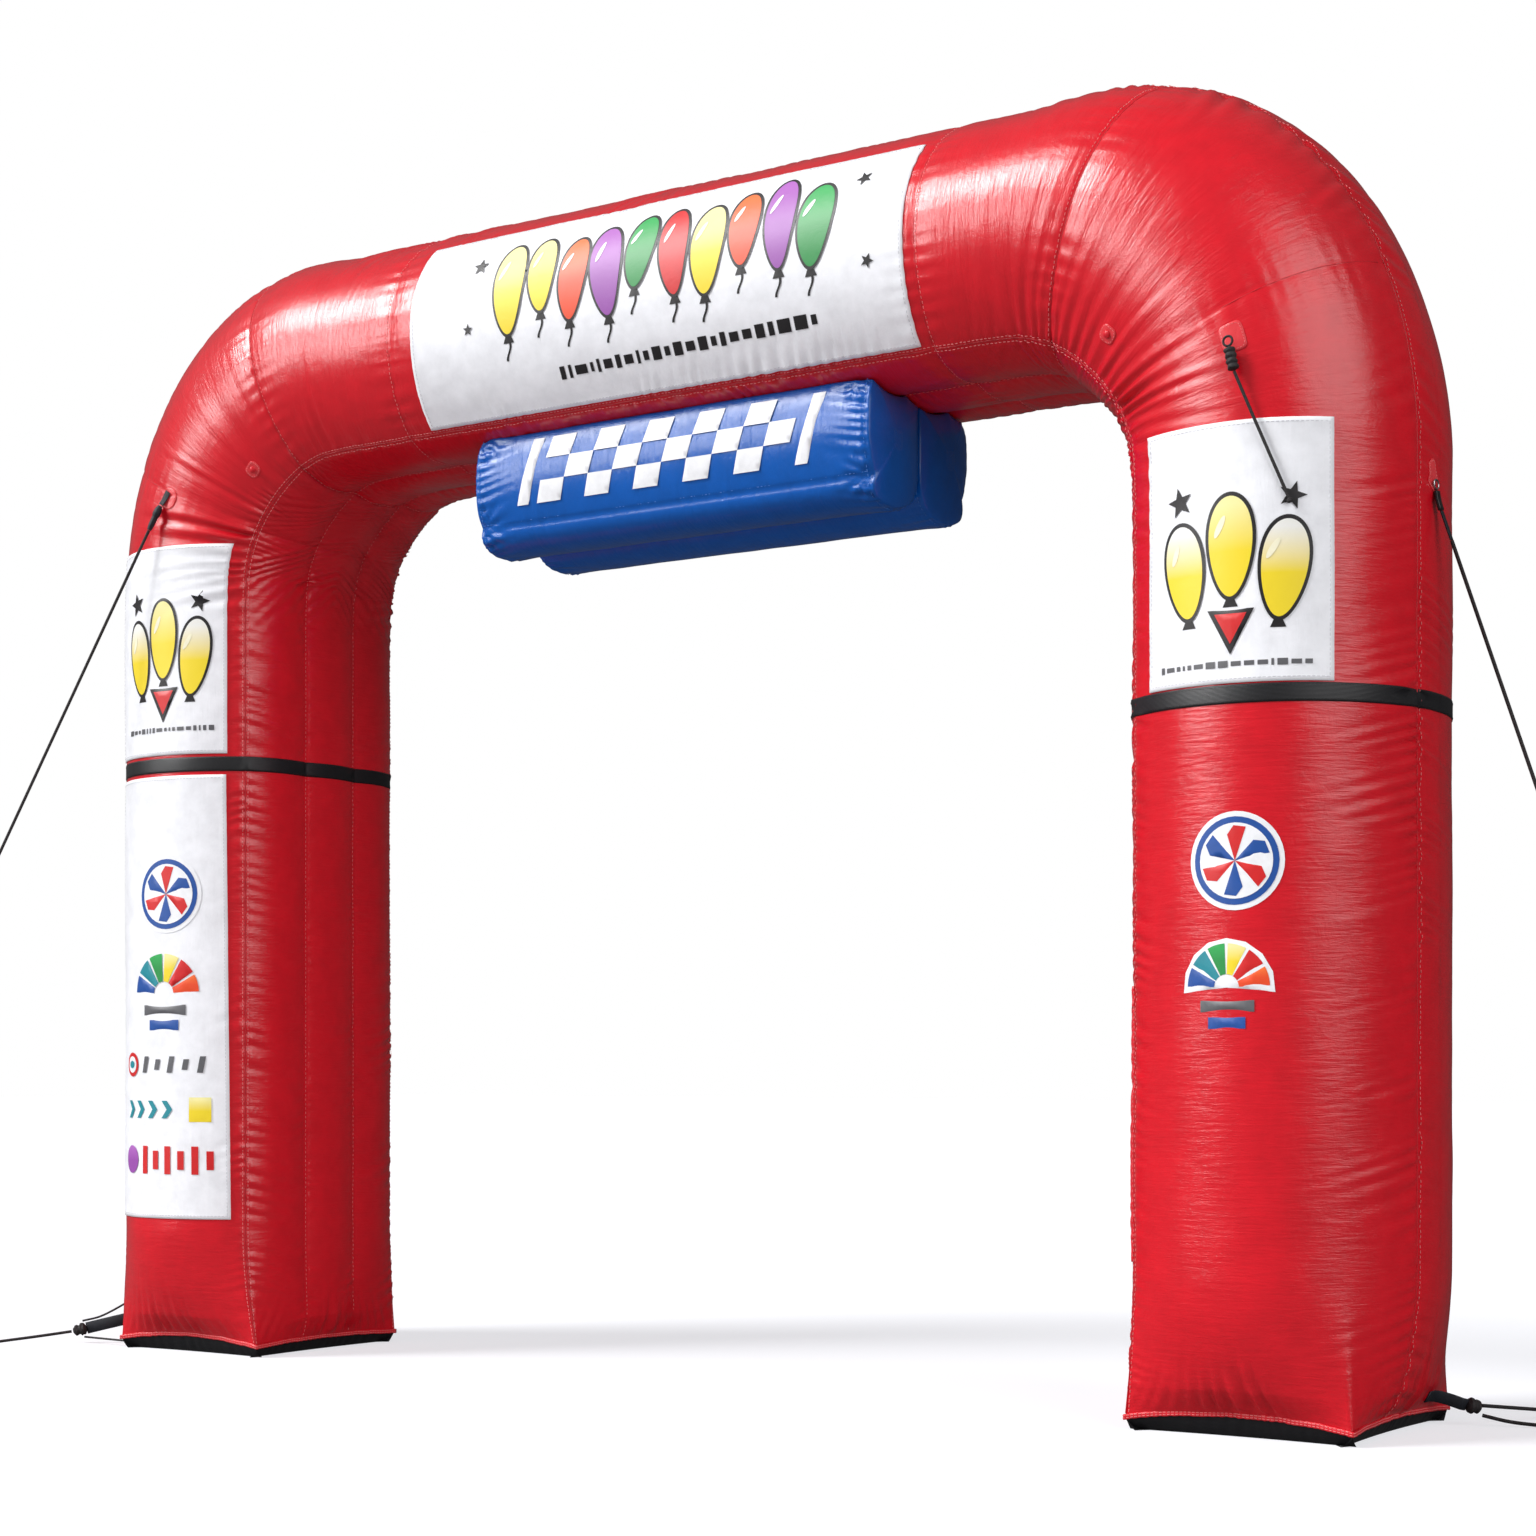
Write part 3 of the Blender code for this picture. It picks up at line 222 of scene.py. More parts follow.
def base_outline(g, push):
    """(outward, depth, rise, share of its side) of the four-cornered base, sides pushed out."""
    g = np.mod(np.asarray(g, float), ROUND)
    front_out, front_in = (BASE_OUT, -BASE_HALF_DEPTH), (-BASE_IN, -BASE_HALF_DEPTH)
    back_in, back_out = (-BASE_IN, BASE_HALF_DEPTH), (BASE_OUT, BASE_HALF_DEPTH)
    out, depth, rise, share_all = (np.zeros_like(g) for _ in range(4))
    rows = ((CORNER, SEAM_F, front_out, front_in, (0, -1)), (SEAM_F, SEAM_B, front_in, back_in, (-1, 0)),
            (SEAM_B, ROUND - CORNER, back_in, back_out, (0, 1)),
            (ROUND - CORNER, ROUND + CORNER, back_out, front_out, (1, 0)))
    for low, high, a, b, normal in rows:
        h = np.where(g < low - 1e-9, g + ROUND, g)
        inside = (h >= low) & (h <= high)
        share = np.clip((h - low) / (high - low), 0, 1)
        pushed = push * np.sin(np.pi * share)
        out = np.where(inside, a[0] + (b[0] - a[0]) * share + normal[0] * pushed, out)
        depth = np.where(inside, a[1] + (b[1] - a[1]) * share + normal[1] * pushed, depth)
        top = RIM_RISE_FRONT if normal[0] == 0 else RIM_RISE_SIDE
        rise = np.where(inside, top * np.sin(np.pi * share) ** 0.8, rise)
        share_all = np.where(inside, share, share_all)
    return out, depth, rise, share_all


# ---------------------------------------------------------------- tube surface
def place(side, s, out, depth):
    """Point of the arch at path length s from the floor, (out, depth) from the tube's middle."""
    angle = np.clip((s - BEND_Z) / BEND_R, 0, np.pi / 2)
    radius = BEND_R + out
    x = np.where(s <= BEND_Z, LEG_X + out, BEND_X + radius * np.cos(angle))
    z = np.where(s <= BEND_Z, s, BEND_Z + radius * np.sin(angle))
    beyond = s > BEND_END
    x = np.where(beyond, PATH_END - s, x)
    z = np.where(beyond, BEAM_Z + out, z)
    return np.stack([side * x, depth + 0 * x, z], axis=-1)


def smooth_surface(side, s, g):
    """The tube without its folds. s is the path length, and over the base the height on the rim."""
    out, depth = section(g)
    rise = np.clip(s - RIM_Z, 0, None)
    keep = (1 - np.clip(rise / FLARE_HEIGHT, 0, 1)) ** 1.7
    push = -RIM_DRAWN_IN + (RIM_DRAWN_IN + BASE_BULGE) * np.clip(rise / BULGE_HEIGHT, 0, 1)
    base_out, base_depth, rim_rise, _ = base_outline(g, push)
    out = out + (base_out - out) * keep
    depth = depth + (base_depth - depth) * keep
    points = place(side, s, swell(out, s), depth)
    points[..., 2] += rim_rise * np.clip(1 - rise / SETTLE_HEIGHT, 0, 1)
    return points


def surface_normal(side, s, g):
    ds, dg = 0.004, 0.06
    along = smooth_surface(side, s + ds, g) - smooth_surface(side, np.maximum(s - ds, RIM_Z), g)
    around = smooth_surface(side, s, g + dg) - smooth_surface(side, s, g - dg)
    normal = np.cross(around, along) * -side
    return normal / np.maximum(np.linalg.norm(normal, axis=-1, keepdims=True), 1e-9)


# lines sewn along the tube: arc, groove, gather, reach of the gathers before and after, their pitch
SEWN_LINES = ((ARC_F, 0.0035, 0.0085, 0.070, 0.150, 0.056), (ARC_B, 0.0035, 0.0085, 0.150, 0.070, 0.056),
              (float(arc_of(CHANNEL_F)), 0.0, 0.0065, 0.060, 0.060, 0.052),
              (float(arc_of(CHANNEL_B)), 0.0, 0.0065, 0.060, 0.060, 0.052),
              (float(arc_of(OUTER_SEAM)), 0.0045, 0.0160, 0.170, 0.170, 0.056))
GROOVE_WIDTH = 0.0055


def add_gathers(height, s, arc, seed, over_base):
    """Grooves of the lines sewn along the tube, and gathers across them on both sides."""
    for number, (at, groove, gather, reach_before, reach_after, pitch) in enumerate(SEWN_LINES):
        gap = arc - at
        gap = np.where(gap > ARC_END / 2, gap - ARC_END, gap)
        distance = np.abs(gap)
        half = np.where(gap > 0, 20, 30) + number * 3
        reach = np.where(gap > 0, reach_after, reach_before)
        reach = reach * (0.75 + 0.55 * noise1(s / 0.09, seed + half + 9))
        row = folds(s + 0.25 * distance, pitch, seed + half)
        patchy = 0.62 + 0.38 * noise1(s / 0.33, seed + 40 + number)
        fade = bell(distance, reach, 1.3) * (1 - bell(distance, 0.005))
        height = height + gather * patchy * row * fade * (1 - 0.75 * over_base)
        height = height - groove * bell(distance, GROOVE_WIDTH)
    return height


def add_bend_folds(height, s, g, arc, seed):
    """Long folds that fan out from the inner seams of the bend, and folds across its lobes."""
    in_bend = smooth(s, BEND_Z - 0.35, BEND_Z + 0.12) * (1 - smooth(s, BEND_END - 0.1, BEND_END + 0.35))
    distance = np.where(arc < ARC_END / 2, np.abs(arc - ARC_F), np.abs(arc - ARC_B))
    on_lobes = (g > SEAM_F) & (g < SEAM_B)
    length = 0.26 + 0.16 * noise1(s / 0.05, seed + 61)
    fan = folds(s + 0.14 * distance, 0.080, seed + 60, 1.1) * bell(distance, length, 1.7)
    fan = fan * (1 - bell(distance + 0.004, 0.02))
    uneven = np.clip(0.65 + 0.75 * noise1(s / 0.19, seed + 66), 0.15, 1.25)
    height = height + 0.0180 * uneven * in_bend * np.where(on_lobes, 0, fan)
    across = folds(s + 0.05 * np.abs(g - ROUND / 2), 0.060, seed + 70, 1.3)
    waist = 0.45 + 0.55 * bell(s - BEND_Z - 0.02, 0.16)
    return height + 0.0085 * in_bend * waist * np.where(on_lobes, across, 0)


def add_rings(height, s, x, g, arc, seed):
    """Seams sewn round the tube with their gathers, and seams across the channels in the bend."""
    rings = [(np.abs(s - RING_PATH), 1.0)]
    for at in BEAM_SEAMS:
        rings.append((np.abs(x - at) + 5.0 * (s < BEND_END - 0.05), 1.0))
    fading = smooth(arc, 0.0, 0.1) * (1 - smooth(arc, 0.75, 1.15))
    rings.append((np.abs(s - MID_BEND_PATH), 0.6 * fading))
    for number, (distance, weight) in enumerate(rings):
        row = folds(arc, 0.062, seed + 80 + number)
        height = height - weight * (0.0036 * bell(distance, GROOVE_WIDTH) + 0.0050 * bell(distance, 0.045)
                                    - 0.0040 * row * bell(distance, 0.085, 1.4) * (1 - bell(distance, 0.006)))
    edge = smooth(g, SEAM_F - 0.8, SEAM_F + 0.4) * (1 - smooth(g, SEAM_B - 0.4, SEAM_B + 0.8))
    for at in (MID_BEND_PATH, RING_PATH):
        distance = np.abs(s - at)
        height = height - edge * (0.0030 * bell(distance, 0.006) + 0.0060 * bell(distance, 0.045))
    return height


def add_base_pleats(height, s, g, arc, seed, over_base):
    """Pleats over the base binding that lean to the corners, and creases at the corners."""
    _, _, _, share = base_outline(g, 0.0)
    lean = np.where(share > 0.5, 1, -1) * np.abs(share - 0.5) * 1.6
    pleat = folds(arc + lean * np.clip(s - RIM_Z, 0, 0.4), 0.058, seed + 90, 0.8)
    tall = 0.16 + 0.08 * noise1(arc / 0.05, seed + 91)
    up = np.clip(s - RIM_Z, 0, None)
    inside = np.sin(np.pi * share) ** 0.6
    height = height + 0.0125 * pleat * inside * smooth(up, 0.008, 0.040) * bell(up, tall)
    crease = np.minimum.reduce([np.abs(g - c) for c in CORNERS])
    return height * (1 - 0.5 * bell(crease, 0.3) * over_base)


def bump_of(side, s, g, x):
    """Height of the folds, seams and waves over the smooth tube, in metres."""
    g = np.mod(g, ROUND)
    arc = arc_of(g)
    seed = 3 if side > 0 else 11
    over_base = 1 - smooth(s, 0.05, 0.22)
    height = 0.0022 * noise2(s / 0.31, arc / 0.26, seed) + 0.0012 * noise2(s / 0.13, arc / 0.17, seed + 1)
    height = add_gathers(height, s, arc, seed, over_base)
    height = add_bend_folds(height, s, g, arc, seed)
    height = add_rings(height, s, x, g, arc, seed)
    return add_base_pleats(height, s, g, arc, seed, over_base)


def surface(side, s, g, lift=0.0):
    """Points and outward normals of the finished tube, lift metres over it."""
    s, g = np.broadcast_arrays(np.asarray(s, float), np.asarray(g, float))
    points = smooth_surface(side, s, g)
    normals = surface_normal(side, s, g)
    middle = place(side, s, np.zeros_like(s), np.zeros_like(s))
    flip = np.sum(normals * (points - middle), axis=-1, keepdims=True) < 0
    normals = np.where(flip, -normals, normals)
    height = bump_of(side, s, g, points[..., 0])
    return points + normals * (height + lift)[..., None], normals


# ---------------------------------------------------------------- mesh helpers
def add_object(name, data):
    result = bpy.data.objects.new(name, data)
    bpy.context.scene.collection.objects.link(result)
    return result


def attach(obj, slot, *nodes):
    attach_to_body(obj, "root")
    if nodes:
        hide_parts(*nodes)
    return obj


def turn_outward(mesh):
    """Recalculate the normals of a closed mesh so that they face out."""
    form = bmesh.new()
    form.from_mesh(mesh)
    bmesh.ops.recalc_face_normals(form, faces=form.faces)
    form.to_mesh(mesh)
    form.free()


def make_piece(name, points, faces, material, slot, *nodes, uvs=None, closed=True, shade_smooth=True):
    """Mesh piece in place of the nodes; the slot is not used. uvs holds a pair for each point; the rest get
    (0, 0).
    """
    name = name.replace(" ", "_")
    mesh = bpy.data.meshes.new(name)
    points = np.asarray(points, float).reshape(-1, 3)
    mesh.from_pydata(points.tolist(), [], [tuple(f) for f in faces])
    mesh.update()
    if uvs is not None:
        layer = mesh.uv_layers.new(name="UVMap")
        index = np.empty(len(mesh.loops), int)
        mesh.loops.foreach_get("vertex_index", index)
        uvs = np.asarray(uvs, float).reshape(-1, 2)
        uvs = np.pad(uvs, ((0, len(points) - len(uvs)), (0, 0)))
        layer.data.foreach_set("uv", uvs[index].ravel())
    if shade_smooth:
        mesh.shade_smooth()
    mesh.materials.append(material)
    if closed:
        turn_outward(mesh)
    return attach(add_object(name, mesh), slot, *nodes)


def grid_faces(rows, columns, wrap=False, start=0, wrap_rows=False):
    """Quads of a grid of points, closed round its columns (wrap) and its rows (wrap_rows)."""
    r, c = grid_of(np.arange(rows if wrap_rows else rows - 1), np.arange(columns if wrap else columns - 1))
    after, above = (c + 1) % columns, (r + 1) % rows
    return start + np.stack([r * columns + c, r * columns + after, above * columns + after,
                             above * columns + c], -1).reshape(-1, 4)


def capped(rows, tips):
    """Points and faces of a row of rings, closed by fans to the tips: pairs of (ring number, point)."""
    count, around = len(rows), len(rows[0])
    points = np.asarray(rows).reshape(-1, 3).tolist() + [list(point) for _, point in tips]
    faces = [tuple(f) for f in grid_faces(count, around, wrap=True)]
    for number, (ring, _) in enumerate(tips):
        faces += [(ring * around + k, ring * around + (k + 1) % around, count * around + number)
                  for k in range(around)]
    return points, faces


def two_sided(top, low):
    """Points and faces of a closed thin sheet from the grids of its two sides."""
    rows, columns = top.shape[:2]
    size = rows * columns
    grid = np.arange(size).reshape(rows, columns)
    border = np.concatenate([grid[0], grid[1:, -1], grid[-1, -2::-1], grid[-2:0:-1, 0]])
    after = np.roll(border, -1)
    faces = [grid_faces(rows, columns), grid_faces(rows, columns, start=size)[:, ::-1],
             np.stack([border, after, after + size, border + size], -1)]
    return np.concatenate([top.reshape(-1, 3), low.reshape(-1, 3)]), np.concatenate(faces)


# ---------------------------------------------------------------- materials
def shader_of(material):
    return material.node_tree.nodes["Principled BSDF"]


def new_material(name, colour, roughness, **sockets):
    material = bpy.data.materials.new(name)
    material.use_nodes = True
    inputs = shader_of(material).inputs
    inputs["Base Color"].default_value = (*colour, 1)
    inputs["Roughness"].default_value = roughness
    for key, value in sockets.items():
        inputs[key.replace("_", " ")].default_value = value
    return material


def node(material, kind, **values):
    item = material.node_tree.nodes.new(kind)
    for key, value in values.items():
        item.inputs[key.replace("_", " ")].default_value = value
    return item


def link(material, a, out, b, socket):
    material.node_tree.links.new(a.outputs[out], b.inputs[socket])


def texture(material, kind, stretch, space="Object", **values):
    """Texture laid over the piece by its object or UV coordinates, in metres times stretch."""
    source = node(material, "ShaderNodeTexCoord")
    mapping = node(material, "ShaderNodeMapping", Scale=stretch)
    item = node(material, "ShaderNodeTex" + kind, **values)
    link(material, source, space, mapping, "Vector")
    link(material, mapping, "Vector", item, "Vector")
    return item


def ramp_colour(material, source, output, stops):
    """Base colour that goes between two stops, (position, colour), by a node's output."""
    ramp = node(material, "ShaderNodeValToRGB")
    for element, (position, colour) in zip(ramp.color_ramp.elements, stops):
        element.position = position
        element.color = (*colour, 1)
    link(material, source, output, ramp, "Fac")
    link(material, ramp, "Color", shader_of(material), "Base Color")


def vary_colour(material, colour, amount, scale):
    """Cloudy variation of the base colour."""
    tone = texture(material, "Noise", (scale, scale, scale), Detail=5.0, Roughness=0.6)
    low = [c * (1 - amount) for c in colour]
    high = [min(1.0, c * (1 + amount)) for c in colour]
    ramp_colour(material, tone, "Fac", ((0.3, low), (0.7, high)))


def vary_roughness(material, low, high, scale):
    tone = texture(material, "Noise", (scale, scale, scale), Detail=4.0)
    span = node(material, "ShaderNodeMapRange", To_Min=low, To_Max=high)
    link(material, tone, "Fac", span, "Value")
    link(material, span, "Result", shader_of(material), "Roughness")


def add_bumps(material, layers):
    """Chain of bumps on the shader: rows of (texture node, output, strength, distance)."""
    last = None
    for source, output, strength, distance in layers:
        bump = node(material, "ShaderNodeBump", Strength=strength, Distance=distance)
        link(material, source, output, bump, "Height")
        if last:
            link(material, last, "Normal", bump, "Normal")
        last = bump
    link(material, last, "Normal", shader_of(material), "Normal")
    return last


def crumpled(material):
    """Soft crumples all over the cloth."""
    return texture(material, "Noise", (13, 13, 13), Scale=1.0, Detail=7.0, Roughness=0.66, Distortion=1.3)


def coated_fabric(name, colour, roughness, wrinkle=1.0, coat=0.4):
    """Glossy coated cloth: fine scratchy wrinkles across its grain, crumples and a tight weave."""
    material = new_material(name, colour, roughness, Specular_IOR_Level=0.18, Coat_Weight=coat,
                            Coat_Roughness=roughness * 0.7)
    vary_colour(material, colour, 0.07, 2.3)
    vary_roughness(material, roughness - 0.05, roughness + 0.06, 9.0)
    scratch = texture(material, "Noise", (66, 7, 1), "UV", Scale=1.0, Detail=5.0, Roughness=0.60,
                      Distortion=0.35)
    weave = texture(material, "Voronoi", (420, 420, 1), "UV", Scale=1.0)
    last = add_bumps(material, [(crumpled(material), "Fac", 0.16 * wrinkle, 0.010),
                                (scratch, "Fac", 0.25 * wrinkle, 0.0085), (weave, "Distance", 0.06, 0.0006)])
    link(material, last, "Normal", shader_of(material), "Coat Normal")
    return material


def webbing(name, colour, roughness):
    """Woven strap with ribs across it."""
    material = new_material(name, colour, roughness)
    vary_colour(material, colour, 0.25, 30.0)
    ribs = texture(material, "Wave", (1, 1, 1), "UV", Scale=90.0, Distortion=0.6, Detail=2.0)
    grain = texture(material, "Noise", (1, 1, 1), "UV", Scale=240.0, Detail=4.0)
    add_bumps(material, [(ribs, "Fac", 0.4, 0.0012), (grain, "Fac", 0.3, 0.001)])
    return material


def braided_rope():
    material = new_material("black braided rope", (0.014, 0.012, 0.013), 0.72)
    vary_colour(material, (0.016, 0.013, 0.014), 0.5, 60.0)
    braid = texture(material, "Voronoi", (160, 160, 160), Scale=1.0)
    add_bumps(material, [(braid, "Distance", 0.6, 0.002)])
    return material


def grained(name, colour, roughness, scale, detail, strength, distance, **sockets):
    """Plain thread, metal or plastic with a fine grain."""
    material = new_material(name, colour, roughness, **sockets)
    grain = node(material, "ShaderNodeTexNoise", Scale=scale, Detail=detail)
    add_bumps(material, [(grain, "Fac", strength, distance)])
    return material


def thread(name, colour):
    return grained(name, colour, 0.6, 300.0, 3.0, 0.5, 0.001)


def print_ink(name, colour, top=None):
    """Printed ink on cloth: its colour, the cloth's own wrinkles, and a fade upwards if top is given."""
    material = new_material(name, colour, 0.45)
    if top:
        source = node(material, "ShaderNodeUVMap")
        split = node(material, "ShaderNodeSeparateXYZ")
        link(material, source, "UV", split, "Vector")
        ramp_colour(material, split, "Y", ((0.45, colour), (0.92, top)))
    else:
        vary_colour(material, colour, 0.06, 5.0)
    add_bumps(material, [(crumpled(material), "Fac", 0.22, 0.005)])
    return material


FABRIC = coated_fabric("red coated fabric", (0.62, 0.004, 0.014), 0.32, 1.0, 0.88)
TRIM = coated_fabric("red trim", (0.66, 0.014, 0.026), 0.40, 0.8)
WELT = coated_fabric("red welt", (0.50, 0.010, 0.018), 0.45, 0.5)
PATCH = coated_fabric("red patch", (0.70, 0.045, 0.055), 0.36, 0.8)
WHITE = coated_fabric("white banner fabric", (0.86, 0.87, 0.91), 0.46, 0.75)
BLUE = coated_fabric("blue sign fabric", (0.001, 0.094, 0.43), 0.30, 1.0, 0.55)
BLACK_BASE = coated_fabric("black base fabric", (0.011, 0.011, 0.013), 0.50, 1.2)
BAND = webbing("black webbing", (0.010, 0.010, 0.012), 0.42)
STRAP = webbing("navy black strap", (0.008, 0.011, 0.018), 0.65)
STITCH_LIGHT = thread("light red thread", (0.78, 0.20, 0.20))
STITCH_WHITE = thread("white thread", (0.60, 0.60, 0.64))
STITCH_BLUE = thread("blue thread", (0.05, 0.20, 0.60))
ROPE = braided_rope()
METAL = grained("dark metal", (0.55, 0.55, 0.56), 0.28, 80.0, 4.0, 0.2, 0.0006, Metallic=1.0)
BUCKLE = grained("black plastic", (0.010, 0.010, 0.011), 0.35, 260.0, 3.0, 0.25, 0.0006)
INK = {
    "black": print_ink("black ink", (0.012, 0.010, 0.012)),
    "yellow": print_ink("yellow ink", (0.86, 0.66, 0.02), (0.87, 0.80, 0.35)),
    "pale": print_ink("pale yellow ink", (0.86, 0.66, 0.02), (0.84, 0.84, 0.80)),
    "orange": print_ink("orange red ink", (0.80, 0.07, 0.015), (0.86, 0.16, 0.03)),
    "purple": print_ink("purple ink", (0.30, 0.07, 0.38), (0.42, 0.13, 0.50)),
    "green": print_ink("green ink", (0.010, 0.26, 0.05), (0.02, 0.38, 0.08)),
    "red": print_ink("red ink", (0.62, 0.010, 0.012)),
    "blue": print_ink("blue ink", (0.010, 0.075, 0.33)),
    "teal": print_ink("teal ink", (0.008, 0.24, 0.30)),
    "grey": print_ink("grey ink", (0.11, 0.11, 0.12)),
    "white": print_ink("white ink", (0.84, 0.85, 0.88)),
    "shade": print_ink("pale highlight", (0.88, 0.84, 0.62)),
}


# ---------------------------------------------------------------- tube pieces
def girth_samples(count):
    """Steps round the tube at even distances, with the sewn lines hit exactly."""
    marks = [0.0, OUTER_SEAM, SEAM_F, CHANNEL_F, CHANNEL_B, SEAM_B, ROUND]
    result = []
    for low, high in zip(marks, marks[1:]):
        a, b = float(arc_of(low)), float(arc_of(high) if high < ROUND else ARC_END)
        pieces = max(2, int(round((b - a) / ARC_END * count)))
        result.append(g_of_arc(np.linspace(a, b, pieces + 1)[:-1]))
    return np.concatenate(result)


def tube_skin(name, points, path, g):
    """One stretch of the tube's skin, as an open shell."""
    obj = make_piece(name, points, grid_faces(*points.shape[:2], wrap=True), FABRIC, "red_coated_fabric",
                     "arch_tube", uvs=pairs_of(path, arc_of(g)))


def make_tube():
    fine, around = ((0.0105, 216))
    g = girth_samples(around)
    for side, label in SIDES:
        band = sum(BAND_Z[side]) / 2
        leg, bend = spaced(RIM_Z, band, fine * 0.90), spaced(band, RING_PATH, fine)
        for part, path in (("leg", leg), ("bend", bend)):
            tube_skin(f"tube {part} {label}", surface(side, *grid_of(path, g))[0], path, g)
    half = spaced(RING_PATH, PATH_END, fine)
    left, right = (surface(side, *grid_of(half, g))[0] for side in (-1, 1))
    path = np.concatenate([half, (2 * PATH_END - half[::-1])[1:]])
    tube_skin("tube beam", np.concatenate([left, right[::-1][1:]], 0), path, g)


# ---------------------------------------------------------------- stitches and welts
STITCH_FORM = ((-1, -1, 0), (1, -1, 0), (1, 1, 0), (-1, 1, 0),
               (-0.7, -0.5, 1), (0.7, -0.5, 1), (0.7, 0.5, 1), (-0.7, 0.5, 1))
STITCH_FACES = ((4, 5, 6, 7), (0, 1, 5, 4), (1, 2, 6, 5), (2, 3, 7, 6), (3, 0, 4, 7))


def resample(points, normals, pitch):
    """Points a pitch apart along a line, with the normals and directions there."""
    run = run_along(points)
    at = np.arange(pitch / 2, run[-1], pitch)
    steps = run + np.arange(len(run)) * 1e-12
    direction = np.stack([np.gradient(points[:, k], steps) for k in range(3)], -1)
    p, n, d = (np.stack([np.interp(at, run, rows[:, k]) for k in range(3)], -1)
               for rows in (points, normals, direction))
    return p, unit(n), unit(d)


def stitches(name, paths, material, slot, pitch, length, width, rise=0.0012):
    """Short raised stitches along paths of (points, normals), as one mesh."""
    verts, faces, start = [], [], 0
    for points, normals in paths:
        p, n, d = resample(points, normals, pitch)
        w = np.cross(n, d)
        for along, across, up in STITCH_FORM:
            verts.append(p + d * (along * length / 2) + w * (across * width / 2)
                         + n * (up * rise - 0.0003 * (1 - up)))
        index = [start + k * len(p) + np.arange(len(p)) for k in range(len(STITCH_FORM))]
        faces += [np.stack([index[k] for k in quad], -1) for quad in STITCH_FACES]
        start += len(STITCH_FORM) * len(p)
    make_piece(name, np.concatenate(verts), np.concatenate(faces), material, slot, closed=False,
               shade_smooth=False)


def welt(name, paths, radius):
    """Thin sewn ridge along paths of (points, normals)."""
    verts, faces, start, turns = [], [], 0, full_turn(6)
    for points, normals in paths:
        w = np.cross(normals, unit(np.gradient(points, axis=0)))
        ring = [points + w * (radius * math.cos(a)) + normals * (radius * math.sin(a)) for a in turns]
        verts.append(np.stack(ring, 1).reshape(-1, 3))
        faces.append(grid_faces(len(points), len(turns), wrap=True, start=start))
        start += len(points) * len(turns)
    make_piece(name, np.concatenate(verts), np.concatenate(faces), WELT, "red_trim", closed=False)


def along_tube(side, g, offset=0.0):
    """Path up a leg and over half the beam at g steps round the tube, shifted round it by offset metres."""
    shifted = g_of_arc(np.mod(arc_of(g) + offset, ARC_END))
    s = spaced(RIM_Z + 0.012, PATH_END, 0.02)
    return surface(side, s, np.full_like(s, float(shifted)))


def whole_arch_path(g, offset=0.0):
    """Path up the left leg, over the beam and down the right leg."""
    left, right = along_tube(-1, g, offset), along_tube(1, g, offset)
    return [np.concatenate([a, b[::-1][1:]]) for a, b in zip(left, right)]


def ring_path(side, s, low_g=0, high_g=ROUND):
    """Path round the tube at path length s, from one step to another."""
    arcs = spaced(float(arc_of(low_g)), float(arc_of(high_g)), 0.02)
    g = g_of_arc(np.mod(arcs, ARC_END))
    return surface(side, np.full_like(g, s), g)


def beam_ring(x, shift=0.0):
    return ring_path(1 if x > 0 else -1, PATH_END - abs(x) - shift)


def make_seams():
    seams = [whole_arch_path(g, offset) for g in (SEAM_F, SEAM_B) for offset in (-0.011, 0.011)]
    stitches("stitches inner seams", seams, STITCH_LIGHT, "red_trim", 0.017, 0.010, 0.0030)
    stitches("stitches outer seam", [whole_arch_path(OUTER_SEAM, -0.012)], STITCH_LIGHT, "red_trim",
             0.017, 0.010, 0.0026)
    welt("welts along the tube", [whole_arch_path(g) for g in (SEAM_F, SEAM_B, OUTER_SEAM)], 0.0028)
    channels = [whole_arch_path(CHANNEL_F, 0.004), whole_arch_path(CHANNEL_B, -0.004)]
    stitches("stitches channels", channels, STITCH_LIGHT, "red_trim", 0.019, 0.010, 0.0022)
    beside = 0.009
    rings = [ring_path(side, RING_PATH + beside) for side, _ in SIDES]
    rings += [beam_ring(x, beside) for x in BEAM_SEAMS]
    stitches("stitches rings", rings, STITCH_LIGHT, "red_trim", 0.018, 0.010, 0.0024)
    lines = [ring_path(side, RING_PATH) for side, _ in SIDES] + [beam_ring(x) for x in BEAM_SEAMS]
    lines += [ring_path(side, MID_BEND_PATH, 2, 9) for side, _ in SIDES]
    welt("welts round the tube", lines, 0.0022)


# ---------------------------------------------------------------- sheets on the tube
def arc_at_out(out):
    """Metres round the front of the tube to where it is a given distance out."""
    g = np.linspace(0.5, SEAM_F, 1200)
    return float(arc_of(np.interp(-out, -section(g)[0], g)))


BANNER_LIFT, SHEET = 0.0016, 0.0022
SHEET_STEP, HEM_INSET = 0.014, 0.014


